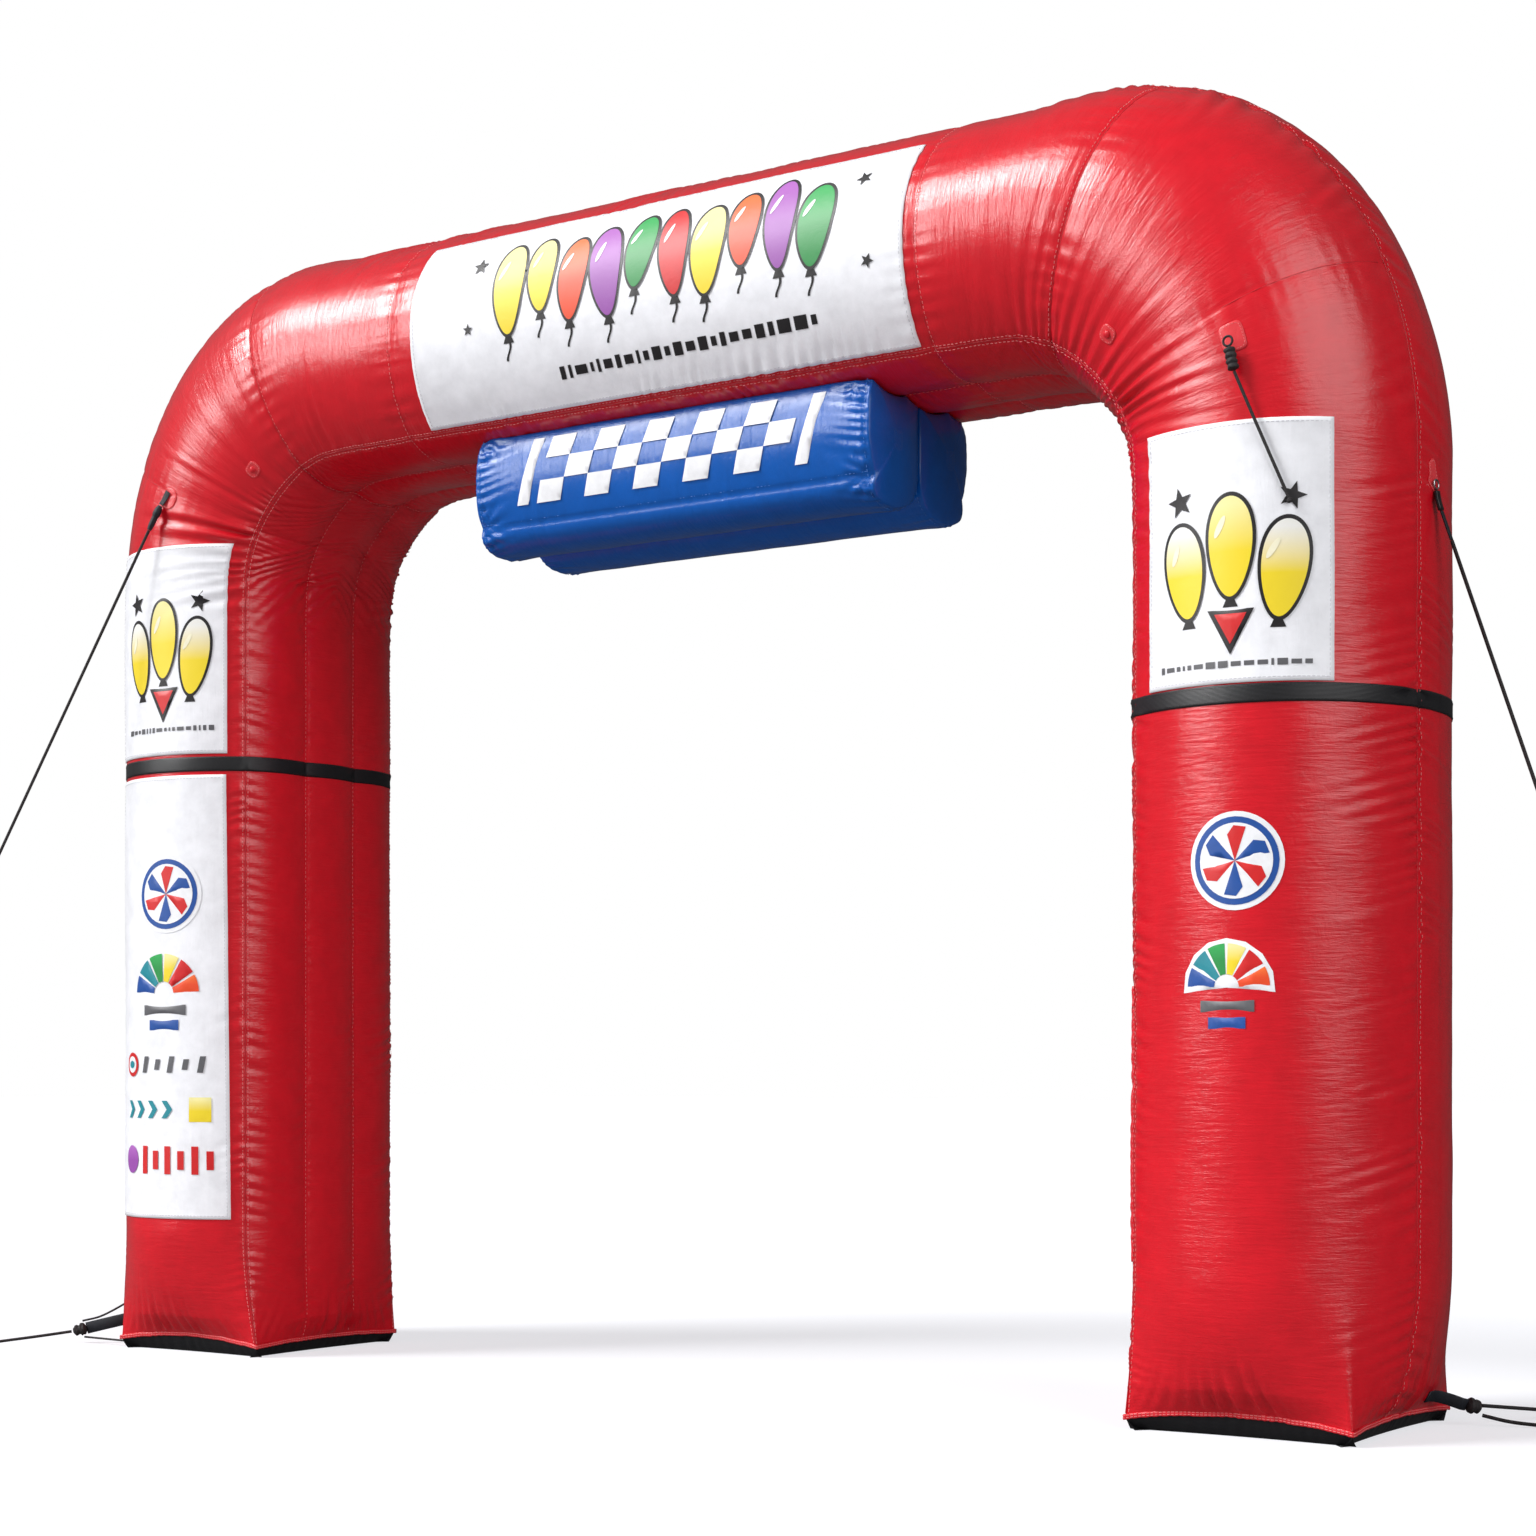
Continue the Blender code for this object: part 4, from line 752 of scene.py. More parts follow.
class LegBanner:
    """Flat coordinates on a leg banner, seen from the front. Its ends are distances out: (inner, outer)."""

    def __init__(self, side, low_z, high_z, top, bottom):
        self.side, self.low = side, low_z
        self.top, self.bottom = ([arc_at_out(out) for out in reversed(end)] for end in (top, bottom))
        self.width = self.top[1] - self.top[0]
        self.height = high_z - low_z

    def at(self, u, v, lift=0.0):
        """u from 0 at the left edge to 1 at the right, v from 0 at the bottom to 1 at the top."""
        u, v = np.broadcast_arrays(np.asarray(u, float), np.asarray(v, float))
        start = self.bottom[0] + (self.top[0] - self.bottom[0]) * v
        end = self.bottom[1] + (self.top[1] - self.bottom[1]) * v
        share = u if self.side < 0 else 1 - u
        g = g_of_arc(start + (end - start) * share)
        z = self.low + self.height * v
        out, _ = section(g)
        lean = np.clip((z - BEND_Z) / (BEND_R + out), 0, 0.95)
        s = np.where(z > BEND_Z, BEND_Z + BEND_R * np.arcsin(lean), z)
        return surface(self.side, s, g, lift)


class BeamBanner:
    """Flat coordinates on the beam's banner, as on a leg's."""

    def __init__(self, low_x, high_x, inner, outer):
        self.low_x = low_x
        self.top, self.bottom = arc_at_out(outer), arc_at_out(inner)
        self.width, self.height = high_x - low_x, self.bottom - self.top

    def at(self, u, v, lift=0.0):
        u, v = np.broadcast_arrays(np.asarray(u, float), np.asarray(v, float))
        x = self.low_x + self.width * u
        g = g_of_arc(self.bottom + (self.top - self.bottom) * v)
        halves = zip(*(surface(side, PATH_END - np.abs(x), g, lift) for side in (1, -1)))
        return [np.where((x > 0)[..., None], right, left) for right, left in halves]


def banner_sheet(name, banner, node_name):
    """Closed sheet with a turned hem, slight waves and a row of stitches round it."""
    size = np.array([banner.width, banner.height])
    nu, nv = (max(24, int(length / SHEET_STEP)) for length in size)
    u, v = np.meshgrid(np.linspace(0, 1, nu), np.linspace(0, 1, nv))
    across, up = u * banner.width, v * banner.height
    edge = np.minimum.reduce([across, (1 - u) * banner.width, up, (1 - v) * banner.height])
    hem = 0.0009 * (1 - smooth(edge, 0.022, 0.026)) + 0.0006 * noise2(across / 0.08, up / 0.05, 7)
    pucker = 0.0007 * folds(across + up, 0.035, 9) * bell(edge, 0.05)
    top, normals = banner.at(u, v, BANNER_LIFT)
    top = top + normals * (SHEET + hem + pucker)[..., None]
    points, faces = two_sided(top, banner.at(u, v, BANNER_LIFT * 0.5)[0])
    obj = make_piece(name, points, faces, WHITE, "white_fabric", node_name,
                     uvs=[np.stack([across, up], -1)] * 2)
    inset_u, inset_v = HEM_INSET / size
    t = np.linspace(0, 1, 160)
    across, up = inset_u + t * (1 - 2 * inset_u), inset_v + t * (1 - 2 * inset_v)
    sides = ((across, inset_v), (across, 1 - inset_v), (inset_u, up), (1 - inset_u, up))
    rows = [banner.at(a, b, BANNER_LIFT + SHEET + 0.0012) for a, b in sides]
    stitches(name + " hem stitches", rows, STITCH_WHITE, "white_fabric", 0.016, 0.010, 0.0022, 0.0009)


# ---------------------------------------------------------------- printed shapes
PRINT_LIFT = BANNER_LIFT + SHEET + 0.0018
PRINT_STEP, LAYER_LIFT = 0.022, 0.0010


def printed(name, banner, outline, colour, layer, slot="white_fabric", lift=PRINT_LIFT):
    """Flat printed shape on a banner. outline is in metres from the banner's lower left corner."""
    outline = np.asarray(outline, float)
    low, high = outline.min(0), outline.max(0)
    xs, ys = (np.arange(low[k] + PRINT_STEP / 2, high[k], PRINT_STEP) for k in range(2))
    points = [Vector(p) for p in outline] + [Vector((x, y)) for x in xs for y in ys]
    ring = list(range(len(outline)))
    edges = list(zip(ring, ring[1:] + ring[:1]))
    verts, _, faces, _, _, _ = delaunay_2d_cdt(points, edges, [ring], 1, 1e-6)
    flat = np.array([tuple(v) for v in verts])
    p, _ = banner.at(flat[:, 0] / banner.width, flat[:, 1] / banner.height, lift + LAYER_LIFT * layer)
    uvs = (flat - low) / np.maximum(high - low, 1e-6)
    make_piece(name, p, faces, INK[colour], slot, uvs=uvs, closed=False)


def print_all(label, banner, rows, *where):
    """Print rows of (name, outline, colour, layer)."""
    for name, outline, colour, layer in rows:
        printed(label + name, banner, outline, colour, layer, *where)


def ellipse(cx, cy, rx, ry, turn=0.0, count=40):
    t = full_turn(count)
    return turned_about(rx * np.cos(t), ry * np.sin(t), cx, cy, turn)


def drop(cx, cy, width, height, turn=0.0, grow=0.0):
    """Balloon: round top, narrowing to its neck at the bottom."""
    t = full_turn(56)
    x = (width / 2 + grow) * np.sin(t) * (1 - 0.16 * (1 - np.cos(t)))
    return turned_about(x, (height / 2 + grow) * np.cos(t), cx, cy, turn)


def star(cx, cy, outer, turn):
    k = np.arange(10)
    t = k * np.pi / 5 + np.pi / 2 + turn
    r = np.where(k % 2 == 0, outer, outer * 0.42)
    return turned_about(r * np.cos(t), r * np.sin(t), cx, cy)


def polygon(points, cx, cy, scale=1.0):
    return np.array([(cx + x * scale, cy + y * scale) for x, y in points])


def box_shape(cx, cy, width, height, slant=0.0):
    w, h = width / 2, height / 2
    lean = slant * h
    return polygon(((-w - lean, -h), (w - lean, -h), (w + lean, h), (-w + lean, h)), cx, cy)


def chevron(cx, cy, width, height):
    w, h = width / 2, height / 2
    return polygon(((-w, h), (0, h), (w, 0), (0, -h), (-w, -h), (0, 0)), cx, cy)


def string_shape(cx, cy, length, width, sway):
    """Wavy balloon string as a thin ribbon that hangs from (cx, cy)."""
    t = np.linspace(0, 1, 14)
    x = sway * np.sin(t * 5.0) * t
    return np.concatenate([np.stack([cx + x - width / 2, cy - t * length], -1),
                           np.stack([cx + x + width / 2, cy - t * length], -1)[::-1]])


def fan_stripe(cx, cy, r0, r1, a0, a1):
    """Part of a ring between two radii and two angles, down to its middle if r0 is 0."""
    a = np.linspace(a0, a1, 9)
    outer = turned_about(r1 * np.cos(a), r1 * np.sin(a), cx, cy)
    inner = turned_about(r0 * np.cos(a[::-1]), r0 * np.sin(a[::-1]), cx, cy) if r0 else [[cx, cy]]
    return np.concatenate([outer, inner])


def balloon(label, banner, cx, cy, width, height, colour, turn, edge=0.013, string=0.10):
    neck = (cx + math.sin(turn) * height / 2, cy - math.cos(turn) * height / 2)
    rows = [(" string", string_shape(*neck, string, 0.010, 0.018), "black", 0)] if string else []
    shine = ellipse(cx - width * 0.20, cy + height * 0.20, width * 0.060, height * 0.12, turn - 0.45, 24)
    rows += [(" knot", polygon(((-0.026, -0.034), (0.026, -0.034), (0.0, 0.022)), *neck), "black", 0),
             (" edge", drop(cx, cy, width, height, turn, edge), "black", 1),
             (" body", drop(cx, cy, width, height, turn), colour, 2),
             (" shine", shine, "shade" if colour in ("yellow", "pale") else "white", 3)]
    print_all(label, banner, rows)


def small_marks(label, banner, x0, x1, y, pitch, height, colour, seed, slant=0.0):
    """Row of short bars of uneven width, as a generic rule under a picture."""
    rng = random.Random(seed)
    x = x0
    number = 0
    while x < x1:
        width = pitch * rng.choice((0.35, 0.6, 1.0, 1.4))
        tall = height * rng.choice((0.7, 1.0))
        if x + width > x1:
            break
        rise = slant * (x - x0) / (x1 - x0)
        printed(f"{label} {number}", banner, box_shape(x + width / 2, y + rise, width, tall), colour, 0)
        x += width + pitch * 0.45
        number += 1


def badge(banner, label, cx, cy, r, *where):
    """Round pinwheel badge in blue, red and white."""
    discs = (("rim", 1.12, "white"), ("disc", 1.0, "blue"), ("inner", 0.86, "white"))
    rows = [(" badge " + name, ellipse(cx, cy, r * share, r * share), colour, layer)
            for layer, (name, share, colour) in enumerate(discs)]
    for k in range(6):
        a = k * math.pi / 3 + 0.2
        tips = [(reach * math.cos(a + turn), reach * math.sin(a + turn))
                for reach, turn in ((0.0, 0), (0.80, 0), (0.80, 0.36), (0.62, 0.62))]
        rows.append((f" vane {k}", polygon(tips, cx, cy, r), "red" if k % 2 else "blue", 3))
    print_all(label, banner, rows, *where)


def rainbow(banner, label, cx, cy, r, *where, rim=False):
    """Fan of coloured stripes over two short bars."""
    rows = [(" fan rim", fan_stripe(cx, cy, 0.0, r * 1.12, -0.1, math.pi + 0.1), "white", 0)] if rim else []
    for k, colour in enumerate(("orange", "red", "yellow", "green", "teal", "blue")):
        a, stripe = k * math.pi / 6, math.pi / 6
        rows.append((f" fan {k}", fan_stripe(cx, cy, r * 0.30, r, a + 0.04, a + stripe - 0.04), colour, 1))
    rows += [(" fan foot", box_shape(cx, cy - r * 0.42, r * 1.3, r * 0.26), "grey", 1),
             (" fan foot b", box_shape(cx, cy - r * 0.80, r * 0.9, r * 0.26), "blue", 1)]
    print_all(label, banner, rows, *where)


def print_beam(banner):
    """Row of ten balloons with strings, four stars and a rule."""
    colours = ("yellow", "yellow", "orange", "purple", "green", "red", "yellow", "orange", "purple", "green")
    for number, colour in enumerate(colours):
        cy = 0.500 + 0.030 * math.sin(number * 1.9) + 0.004 * number
        tall = 0.33 + 0.04 * math.cos(number * 2.3)
        balloon(f"balloon {number}", banner, 0.50 + number * 0.158, cy, 0.150 if number % 3 else 0.168, tall,
                colour, 0.10 * math.sin(number * 2.7))
    stars = ((0.33, 0.62, 0.040), (2.10, 0.66, 0.035), (2.15, 0.33, 0.028), (0.30, 0.36, 0.025))
    for number, (x, y, r) in enumerate(stars):
        printed(f"beam star {number}", banner, star(x, y, r, 0.4 * number), "black", 1)
    small_marks("beam mark", banner, 0.72, 1.92, 0.135, 0.040, 0.050, "black", 4, 0.03)


def print_leg(banner, label, start, span, low, seed):
    """Three balloons over a pennant, two stars and a rule, on an upper leg banner."""
    base = low * banner.height
    left, wide = banner.width * start, banner.width * span
    for name, x, y, broad, tall, colour, turn in (
            ("a", 0.25, base, 0.25, 0.31, "pale", 0.12), ("b", 0.50, base + 0.07, 0.26, 0.33, "yellow", 0.0),
            ("c", 0.76, base - 0.01, 0.26, 0.32, "pale", -0.12)):
        balloon(f"{label} leg balloon {name}", banner, left + wide * x, y, wide * broad, tall, colour, turn,
                0.014, 0.0)
    flag = (left + wide * 0.5, base - 0.15)
    print_all(label, banner, (
        (" flag edge", polygon(((-0.080, 0.014), (0.080, 0.014), (0.0, -0.135)), *flag), "black", 1),
        (" flag", polygon(((-0.055, 0.0), (0.055, 0.0), (0.0, -0.10)), *flag), "red", 2),
        (" star a", star(left + wide * 0.22, base + 0.235, 0.052, 0.2), "black", 1),
        (" star b", star(left + wide * 0.80, base + 0.225, 0.048, -0.3), "black", 1)))
    small_marks(label + " leg mark", banner, left + wide * 0.10, left + wide * 0.92, base - 0.315,
                0.024, 0.022, "grey", seed)


def print_lower(banner):
    """Badge, colour fan and three rows of small marks on the lower left banner."""
    w = banner.width
    badge(banner, "lower", w * 0.63, 1.39, 0.150)
    rainbow(banner, "lower", w * 0.61, 0.965, 0.17)
    x, top, middle, bottom = w * 0.33, 0.66, 0.467, 0.250
    dots = ((0.052, 0.052, "red"), (0.036, 0.036, "white"), (0.022, 0.016, "teal"))
    rows = [(f"row dot {k}", ellipse(x, top, rx, ry), colour, k + 1)
            for k, (rx, ry, colour) in enumerate(dots)]
    rows += [(f"grey bar {k}", box_shape(w * (0.47 + k * 0.095), top, 0.026, tall, 0.2), "grey", 1)
             for k, tall in enumerate((0.07, 0.045, 0.07, 0.045, 0.07))]
    rows += [(f"teal chevron {k}", chevron(w * (0.32 + k * 0.105), middle, 0.055, 0.075), "teal", 1)
             for k in range(4)]
    rows += [("yellow block", box_shape(w * 0.84, middle, 0.095, 0.105), "yellow", 1),
             ("purple dot", ellipse(x, bottom, 0.055, 0.060), "purple", 1)]
    rows += [(f"red bar {k}", box_shape(w * (0.47 + k * 0.085), bottom, 0.030, tall), "red", 1)
             for k, tall in enumerate((0.12, 0.08, 0.12, 0.08, 0.12, 0.08))]
    print_all("", banner, rows)


# ---------------------------------------------------------------- bands
# section of the webbing: share of its width, lift off the tube, distance across its face
BAND_SECTION = ((0, 0.0006, 0), (0.0, 0.0026, .002), (0.12, 0.0034, .01), (0.5, 0.0032, .03),
                (0.88, 0.0034, .05), (1.0, 0.0026, .058), (1.0, 0.0006, .06))


def make_band(side, node_name):
    low, high = BAND_Z[side]
    arcs = np.linspace(0, ARC_END, 361)[:-1]
    g = g_of_arc(arcs)
    verts = [surface(side, np.full_like(g, low + (high - low) * share), g, lift)[0]
             for share, lift, _ in BAND_SECTION]
    uvs = pairs_of([across for _, _, across in BAND_SECTION], arcs)
    faces = grid_faces(len(BAND_SECTION), len(g), wrap=True, wrap_rows=True)
    obj = make_piece(node_name + " look", verts, faces, BAND, "black_webbing", node_name, uvs=uvs)
    rows = [surface(side, np.full_like(g, z), g, 0.0034) for z in (low + 0.007, high - 0.007)]
    stitches(node_name + " stitches", rows, BLACK_BASE, "black_webbing", 0.014, 0.009, 0.0018, 0.0008)


# ---------------------------------------------------------------- base
def rim_curve(side, offset, height, settle=1.0):
    """Closed line round the base at a distance out from the rim line, with its steps, shares and normals."""
    arcs = np.linspace(0, ARC_END, 420, endpoint=False)
    g = np.sort(np.unique(np.concatenate([g_of_arc(arcs), CORNERS])))
    out, depth, rise, share = base_outline(g, -RIM_DRAWN_IN)
    centre = np.stack([out, depth], -1)
    across = np.roll(centre, -1, 0) - np.roll(centre, 1, 0)
    n = unit(np.stack([-across[:, 1], across[:, 0]], -1))
    n = n * np.where(np.sum(n * centre, axis=1, keepdims=True) < 0, -1, 1)
    near_corner = bell(np.minimum.reduce([np.abs(g - c) for c in CORNERS]), 0.05)
    mitre = 1 / np.maximum(0.72, np.abs(np.cos(0.25 * np.pi * near_corner)))
    out, depth = out + n[:, 0] * offset * mitre, depth + n[:, 1] * offset * mitre
    line = np.stack([side * (LEG_X + out), depth, height + rise * settle], -1)
    return line, g, share, n * np.array([side, 1.0])


# section of the binding: height over the rim line, distance out
BINDING_SECTION = ((-0.0090, 0.0006), (-0.0092, 0.0050), (-0.0060, 0.0066), (0.0, 0.0060), (0.0060, 0.0066),
                   (0.0092, 0.0050), (0.0090, 0.0006))
# rows of the base panel: share of the way down to the floor, distance out, share of the rim's rise
PANEL_ROWS = ((0.0, -0.0005, 1.0), (0.10, -0.001, 1.0), (0.28, -0.003, 0.9), (0.48, -0.009, 0.65),
              (0.68, -0.017, 0.38), (0.86, -0.026, 0.14), (0.96, -0.031, 0.03), (1.0, -0.0345, 0.0))


def make_binding(side, label, seed):
    """Soft rounded strip round the base, pulled in by its two rows of stitches."""
    rows = []
    for dz, off in BINDING_SECTION:
        line, g, _, normal = rim_curve(side, off, RIM_Z + dz)
        arc = arc_of(g)
        scallop = folds(arc, 0.030, seed, 0.9)
        line[:, 2] += 0.0016 * noise1(arc / 0.05, seed + 2) + 0.0013 * scallop * np.sign(dz)
        line[:, :2] += normal * (0.0012 * scallop * (off > 0.004))[:, None]
        rows.append(line)
    faces = grid_faces(len(rows), len(g), wrap=True, wrap_rows=True)
    make_piece("binding " + label, rows, faces, TRIM, "red_trim", "base_binding_" + label,
               uvs=pairs_of(np.arange(len(rows)) * 0.004, arc))
    paths = []
    for dz in (-0.0035, 0.0045):
        line, g, _, normal = rim_curve(side, 0.0068, RIM_Z + dz)
        line[:, 2] += 0.0016 * noise1(arc_of(g) / 0.05, seed + 2)
        paths.append((line, np.pad(normal, ((0, 0), (0, 1)))))
    stitches("binding stitches " + label, paths, STITCH_LIGHT, "red_trim", 0.015, 0.010, 0.0030, 0.0010)


def make_panel(side, label, seed):
    """Taut black cloth drawn down and in to the floor, with small folds."""
    rows = []
    for down, off, settle in PANEL_ROWS:
        line, g, share, normal = rim_curve(side, off, 0.0, settle)
        line[:, 2] += (RIM_Z - 0.0005) * (1 - down)
        inside = np.sin(np.pi * np.clip(share, 0, 1)) ** 0.5
        ripple = folds(arc_of(g), 0.055, seed + 8, 0.8) * inside * math.sin(math.pi * min(down, 0.96))
        line[:, :2] -= normal * (0.0022 + 0.0022 * ripple * (down > 0.15))[:, None] * (down > 0.05)
        rows.append(line)
    middle = np.mean(rows[-1], 0, keepdims=True)
    rows.append(middle + (rows[-1] - middle) * 0.5)
    top = (float(np.mean(rows[0][:, 0])), 0.0, RIM_Z + RIM_RISE_FRONT - 0.001)
    points, faces = capped(rows, ((len(rows) - 1, np.mean(rows[-1], 0)), (0, top)))
    obj = make_piece("base panel " + label, points, faces, BLACK_BASE, "black_base_fabric",
                     "base_panel_" + label, uvs=pairs_of(np.arange(len(rows)) * 0.01, arc_of(g)))


# ---------------------------------------------------------------- sign
SIGN_FRONT_Y, SIGN_BACK_Y, SIGN_MIDDLE_Y, SIGN_GROOVE_Y = -0.395, 0.265, -0.065, 0.006
SIGN_SEAM_Z, SIGN_BOTTOM_Z, SIGN_CROWN = 3.400, 3.294, 0.032
SIGN_HALF = SIGN_LENGTH / 2
SIGN_DOME, SIGN_TIP = 0.034, 0.0355           # how far the ends bulge, at their last loop and their middle
# scale of the loops from the end's seam to near its middle
SIGN_END_SCALES = (0.985, 0.96, 0.93, 0.89, 0.84, 0.78, 0.70, 0.60, 0.48, 0.34, 0.18)


def lobe_height(depth):
    """Height just under the beam at a depth."""
    half_steps = (SEAM_B - SEAM_F) / 2
    return BEAM_Z + lobe_line(half_steps * (1 + depth / SEAM_HALF_DEPTH))[0] - 0.003


def sign_profile(front):
    """Closed cross-section of one block as rows of (depth, height), and its parts' lengths."""
    out, outer = (-1, SIGN_FRONT_Y) if front else (1, SIGN_BACK_Y)
    inner = SIGN_MIDDLE_Y + out * SIGN_GROOVE_Y
    edge_z, high_z = float(lobe_height(outer)), float(lobe_height(inner))
    t, u = np.linspace(0, 1, 40), np.linspace(0, 1, 24)
    crown = SIGN_CROWN * np.sin(np.pi * t) ** 0.8
    sag = (SIGN_SEAM_Z - SIGN_BOTTOM_Z) * np.sin(np.pi * t) ** 0.75
    under = outer + (inner - outer) * (1 - np.cos(np.pi * t)) / 2
    top = inner + (outer - inner) * t
    parts = ((outer + out * crown, edge_z + (SIGN_SEAM_Z - edge_z) * t),
             (under, SIGN_SEAM_Z - sag + 0.05 * t ** 3),
             (np.full_like(u, inner), SIGN_SEAM_Z + 0.05 + (high_z - SIGN_SEAM_Z - 0.05) * u),
             (top, lobe_height(top)))
    return np.concatenate([np.stack(part, -1)[:-1] for part in parts]), [len(part[0]) - 1 for part in parts]


def sign_height(rho, x, arc, lengths, seed):
    """Height of the waves, gathers and seams over one loop of a sign block."""
    from_end = SIGN_HALF - abs(x)
    along = np.full(len(arc), x)
    height = 0.0012 * noise2(along / 0.11, arc / 0.09, seed)
    if from_end > -1e-6:
        near = bell(from_end, 0.080, 1.3) * (1 - bell(from_end, 0.006))
        height = height + 0.0085 * folds(arc + 0.2 * from_end, 0.046, seed + 1) * near
        height = height - 0.004 * bell(from_end, 0.008)
    else:
        height = height + 0.0040 * folds(arc, 0.045, seed + 2) * bell(1 - rho, 0.16, 1.2) * 0.6
    for number in (lengths[0], lengths[0] + lengths[1]):
        gap = np.abs(arc - arc[number])
        row = folds(along, 0.050, seed + 4)
        height = height - 0.003 * bell(gap, 0.006)
        height = height + 0.0026 * row * bell(gap, 0.045, 1.3) * (1 - bell(gap, 0.006))
    # corners pulled in where the end's seam meets the seams along the block
    for at in (arc[0], arc[lengths[0]]):
        gap = np.where(arc - at > arc[-1] / 2, arc - at - arc[-1], arc - at)
        reach = np.hypot(gap, max(from_end, 0.0))
        turn = np.arctan2(max(from_end, 1e-4), gap)
        height = height - 0.012 * bell(reach, 0.030)
        height = height + 0.0060 * np.sin(13 * turn + 2.0 * (x > 0)) * bell(reach - 0.065, 0.050)
    return height


def sign_points(x, flat):
    """Points across the sign at x along it, from rows of (depth, height)."""
    return np.stack([np.full(len(flat), SIGN_X + x), flat[:, 0], flat[:, 1]], -1)


def make_sign(front):
    outline, lengths = sign_profile(front)
    centre = outline.mean(0)
    ends = [(r, SIGN_HALF + SIGN_DOME * math.sqrt(1 - r * r)) for r in SIGN_END_SCALES]
    loops = ([(r, -x) for r, x in reversed(ends)] + [(1.0, x) for x in spaced(-SIGN_HALF, SIGN_HALF, 0.015)]
             + ends)
    arc = run_along(outline)
    d = np.roll(outline, -1, 0) - np.roll(outline, 1, 0)
    normal = unit(np.stack([-d[:, 1], d[:, 0]], -1))
    normal *= np.sign(np.sum(normal * (outline - centre), axis=1, keepdims=True))
    seen = lengths[0] + lengths[1]
    held = np.where(np.arange(len(outline)) < seen, 1, 0.25)
    rows = []
    for rho, x in loops:
        height = sign_height(rho, x, arc, lengths, 50 if front else 57)
        p = centre + (outline + normal * (height * held)[:, None] - centre) * rho
        rows.append(sign_points(x, p))
    tip = SIGN_HALF + SIGN_TIP
    tips = ((0, (SIGN_X - tip, *centre)), (len(rows) - 1, (SIGN_X + tip, *centre)))
    points, faces = capped(rows, tips)
    name = "sign_front" if front else "sign_back"
    obj = make_piece(name + " look", points, faces, BLUE, "blue_fabric", name,
                     uvs=pairs_of([x for _, x in loops], arc))
    stitch_sign(name, front, outline[:seen], normal[:seen])


def stitch_sign(name, front, ring, normal):
    """Thread along the lower outer seam and round both ends, over the part of the outline that is seen."""
    out, outer = (-1, SIGN_FRONT_Y) if front else (1, SIGN_BACK_Y)
    xs = spaced(-SIGN_HALF + 0.01, SIGN_HALF - 0.01, 0.02)
    y, z = outer + out * 0.0035, SIGN_SEAM_Z + 0.012
    line = np.stack([SIGN_X + xs, np.full_like(xs, y), np.full_like(xs, z)], -1)
    paths = [(line, np.tile(np.array([0.0, out, 0.1]), (len(xs), 1)))]
    for end in (-1, 1):
        round_end = sign_points(end * (SIGN_HALF - 0.012), ring + normal * 0.0004)
        paths.append((round_end, np.pad(normal, ((0, 0), (1, 0)))))
    stitches(name + " stitches", paths, STITCH_BLUE, "blue_fabric", 0.017, 0.010, 0.0026)


class SignFace:
    """Flat coordinates on the sign's front face: u to the right, v up."""

    def __init__(self):
        outline, lengths = sign_profile(True)
        self.line = outline[:lengths[0] + 1]
        self.run = run_along(self.line)
        self.height, self.width = float(self.run[-1]), SIGN_LENGTH

    def on_line(self, run):
        return [np.interp(run, self.run, self.line[:, k]) for k in range(2)]

    def at(self, u, v, lift=0.0):
        run = (1 - np.asarray(v, float)) * self.height
        y, z = self.on_line(run)
        x = SIGN_X + (np.asarray(u, float) - 0.5) * SIGN_LENGTH
        dy, dz = (b - a for a, b in zip(self.on_line(run - 0.004), self.on_line(run + 0.004)))
        n = np.stack([0 * dy, dz, -dy], -1)
        n /= np.maximum(np.linalg.norm(n, axis=-1, keepdims=True), 1e-9)
        n *= np.where(n[..., 1:2] > 0, -1, 1)
        return np.stack([x, y, z], -1) + n * lift, n


def print_sign():
    """Slanted check of white boxes between two bars."""
    tall, lean, wide, low = 0.086, 0.30, 0.118, 0.115
    rows = []
    for row in range(3):
        for column in range(row % 2, 10, 2):
            cx = 0.40 + column * wide + (row - 1) * tall * lean
            box = box_shape(cx, low + row * tall, wide, tall, lean)
            rows.append((f"sign check {row} {column}", box, "white", 0))
    for k, x in enumerate((0.27, 1.59)):
        rows.append((f"sign bar {k}", box_shape(x, low + tall, 0.055, tall * 3, lean), "white", 0))
    print_all("", SignFace(), rows, "blue_fabric", 0.0042)


# ---------------------------------------------------------------- patches and fittings
# loops of a patch from its middle to its edge: scale, share of its thickness (None at its foot)
PATCH_LOOPS = ((0.02, 1), (0.35, 1), (0.7, 1), (0.9, 1), (0.97, 0.85), (1.0, 0.5), (1.0, None))
PATCH_RISE, PATCH_FOOT = 0.0036, 0.0004


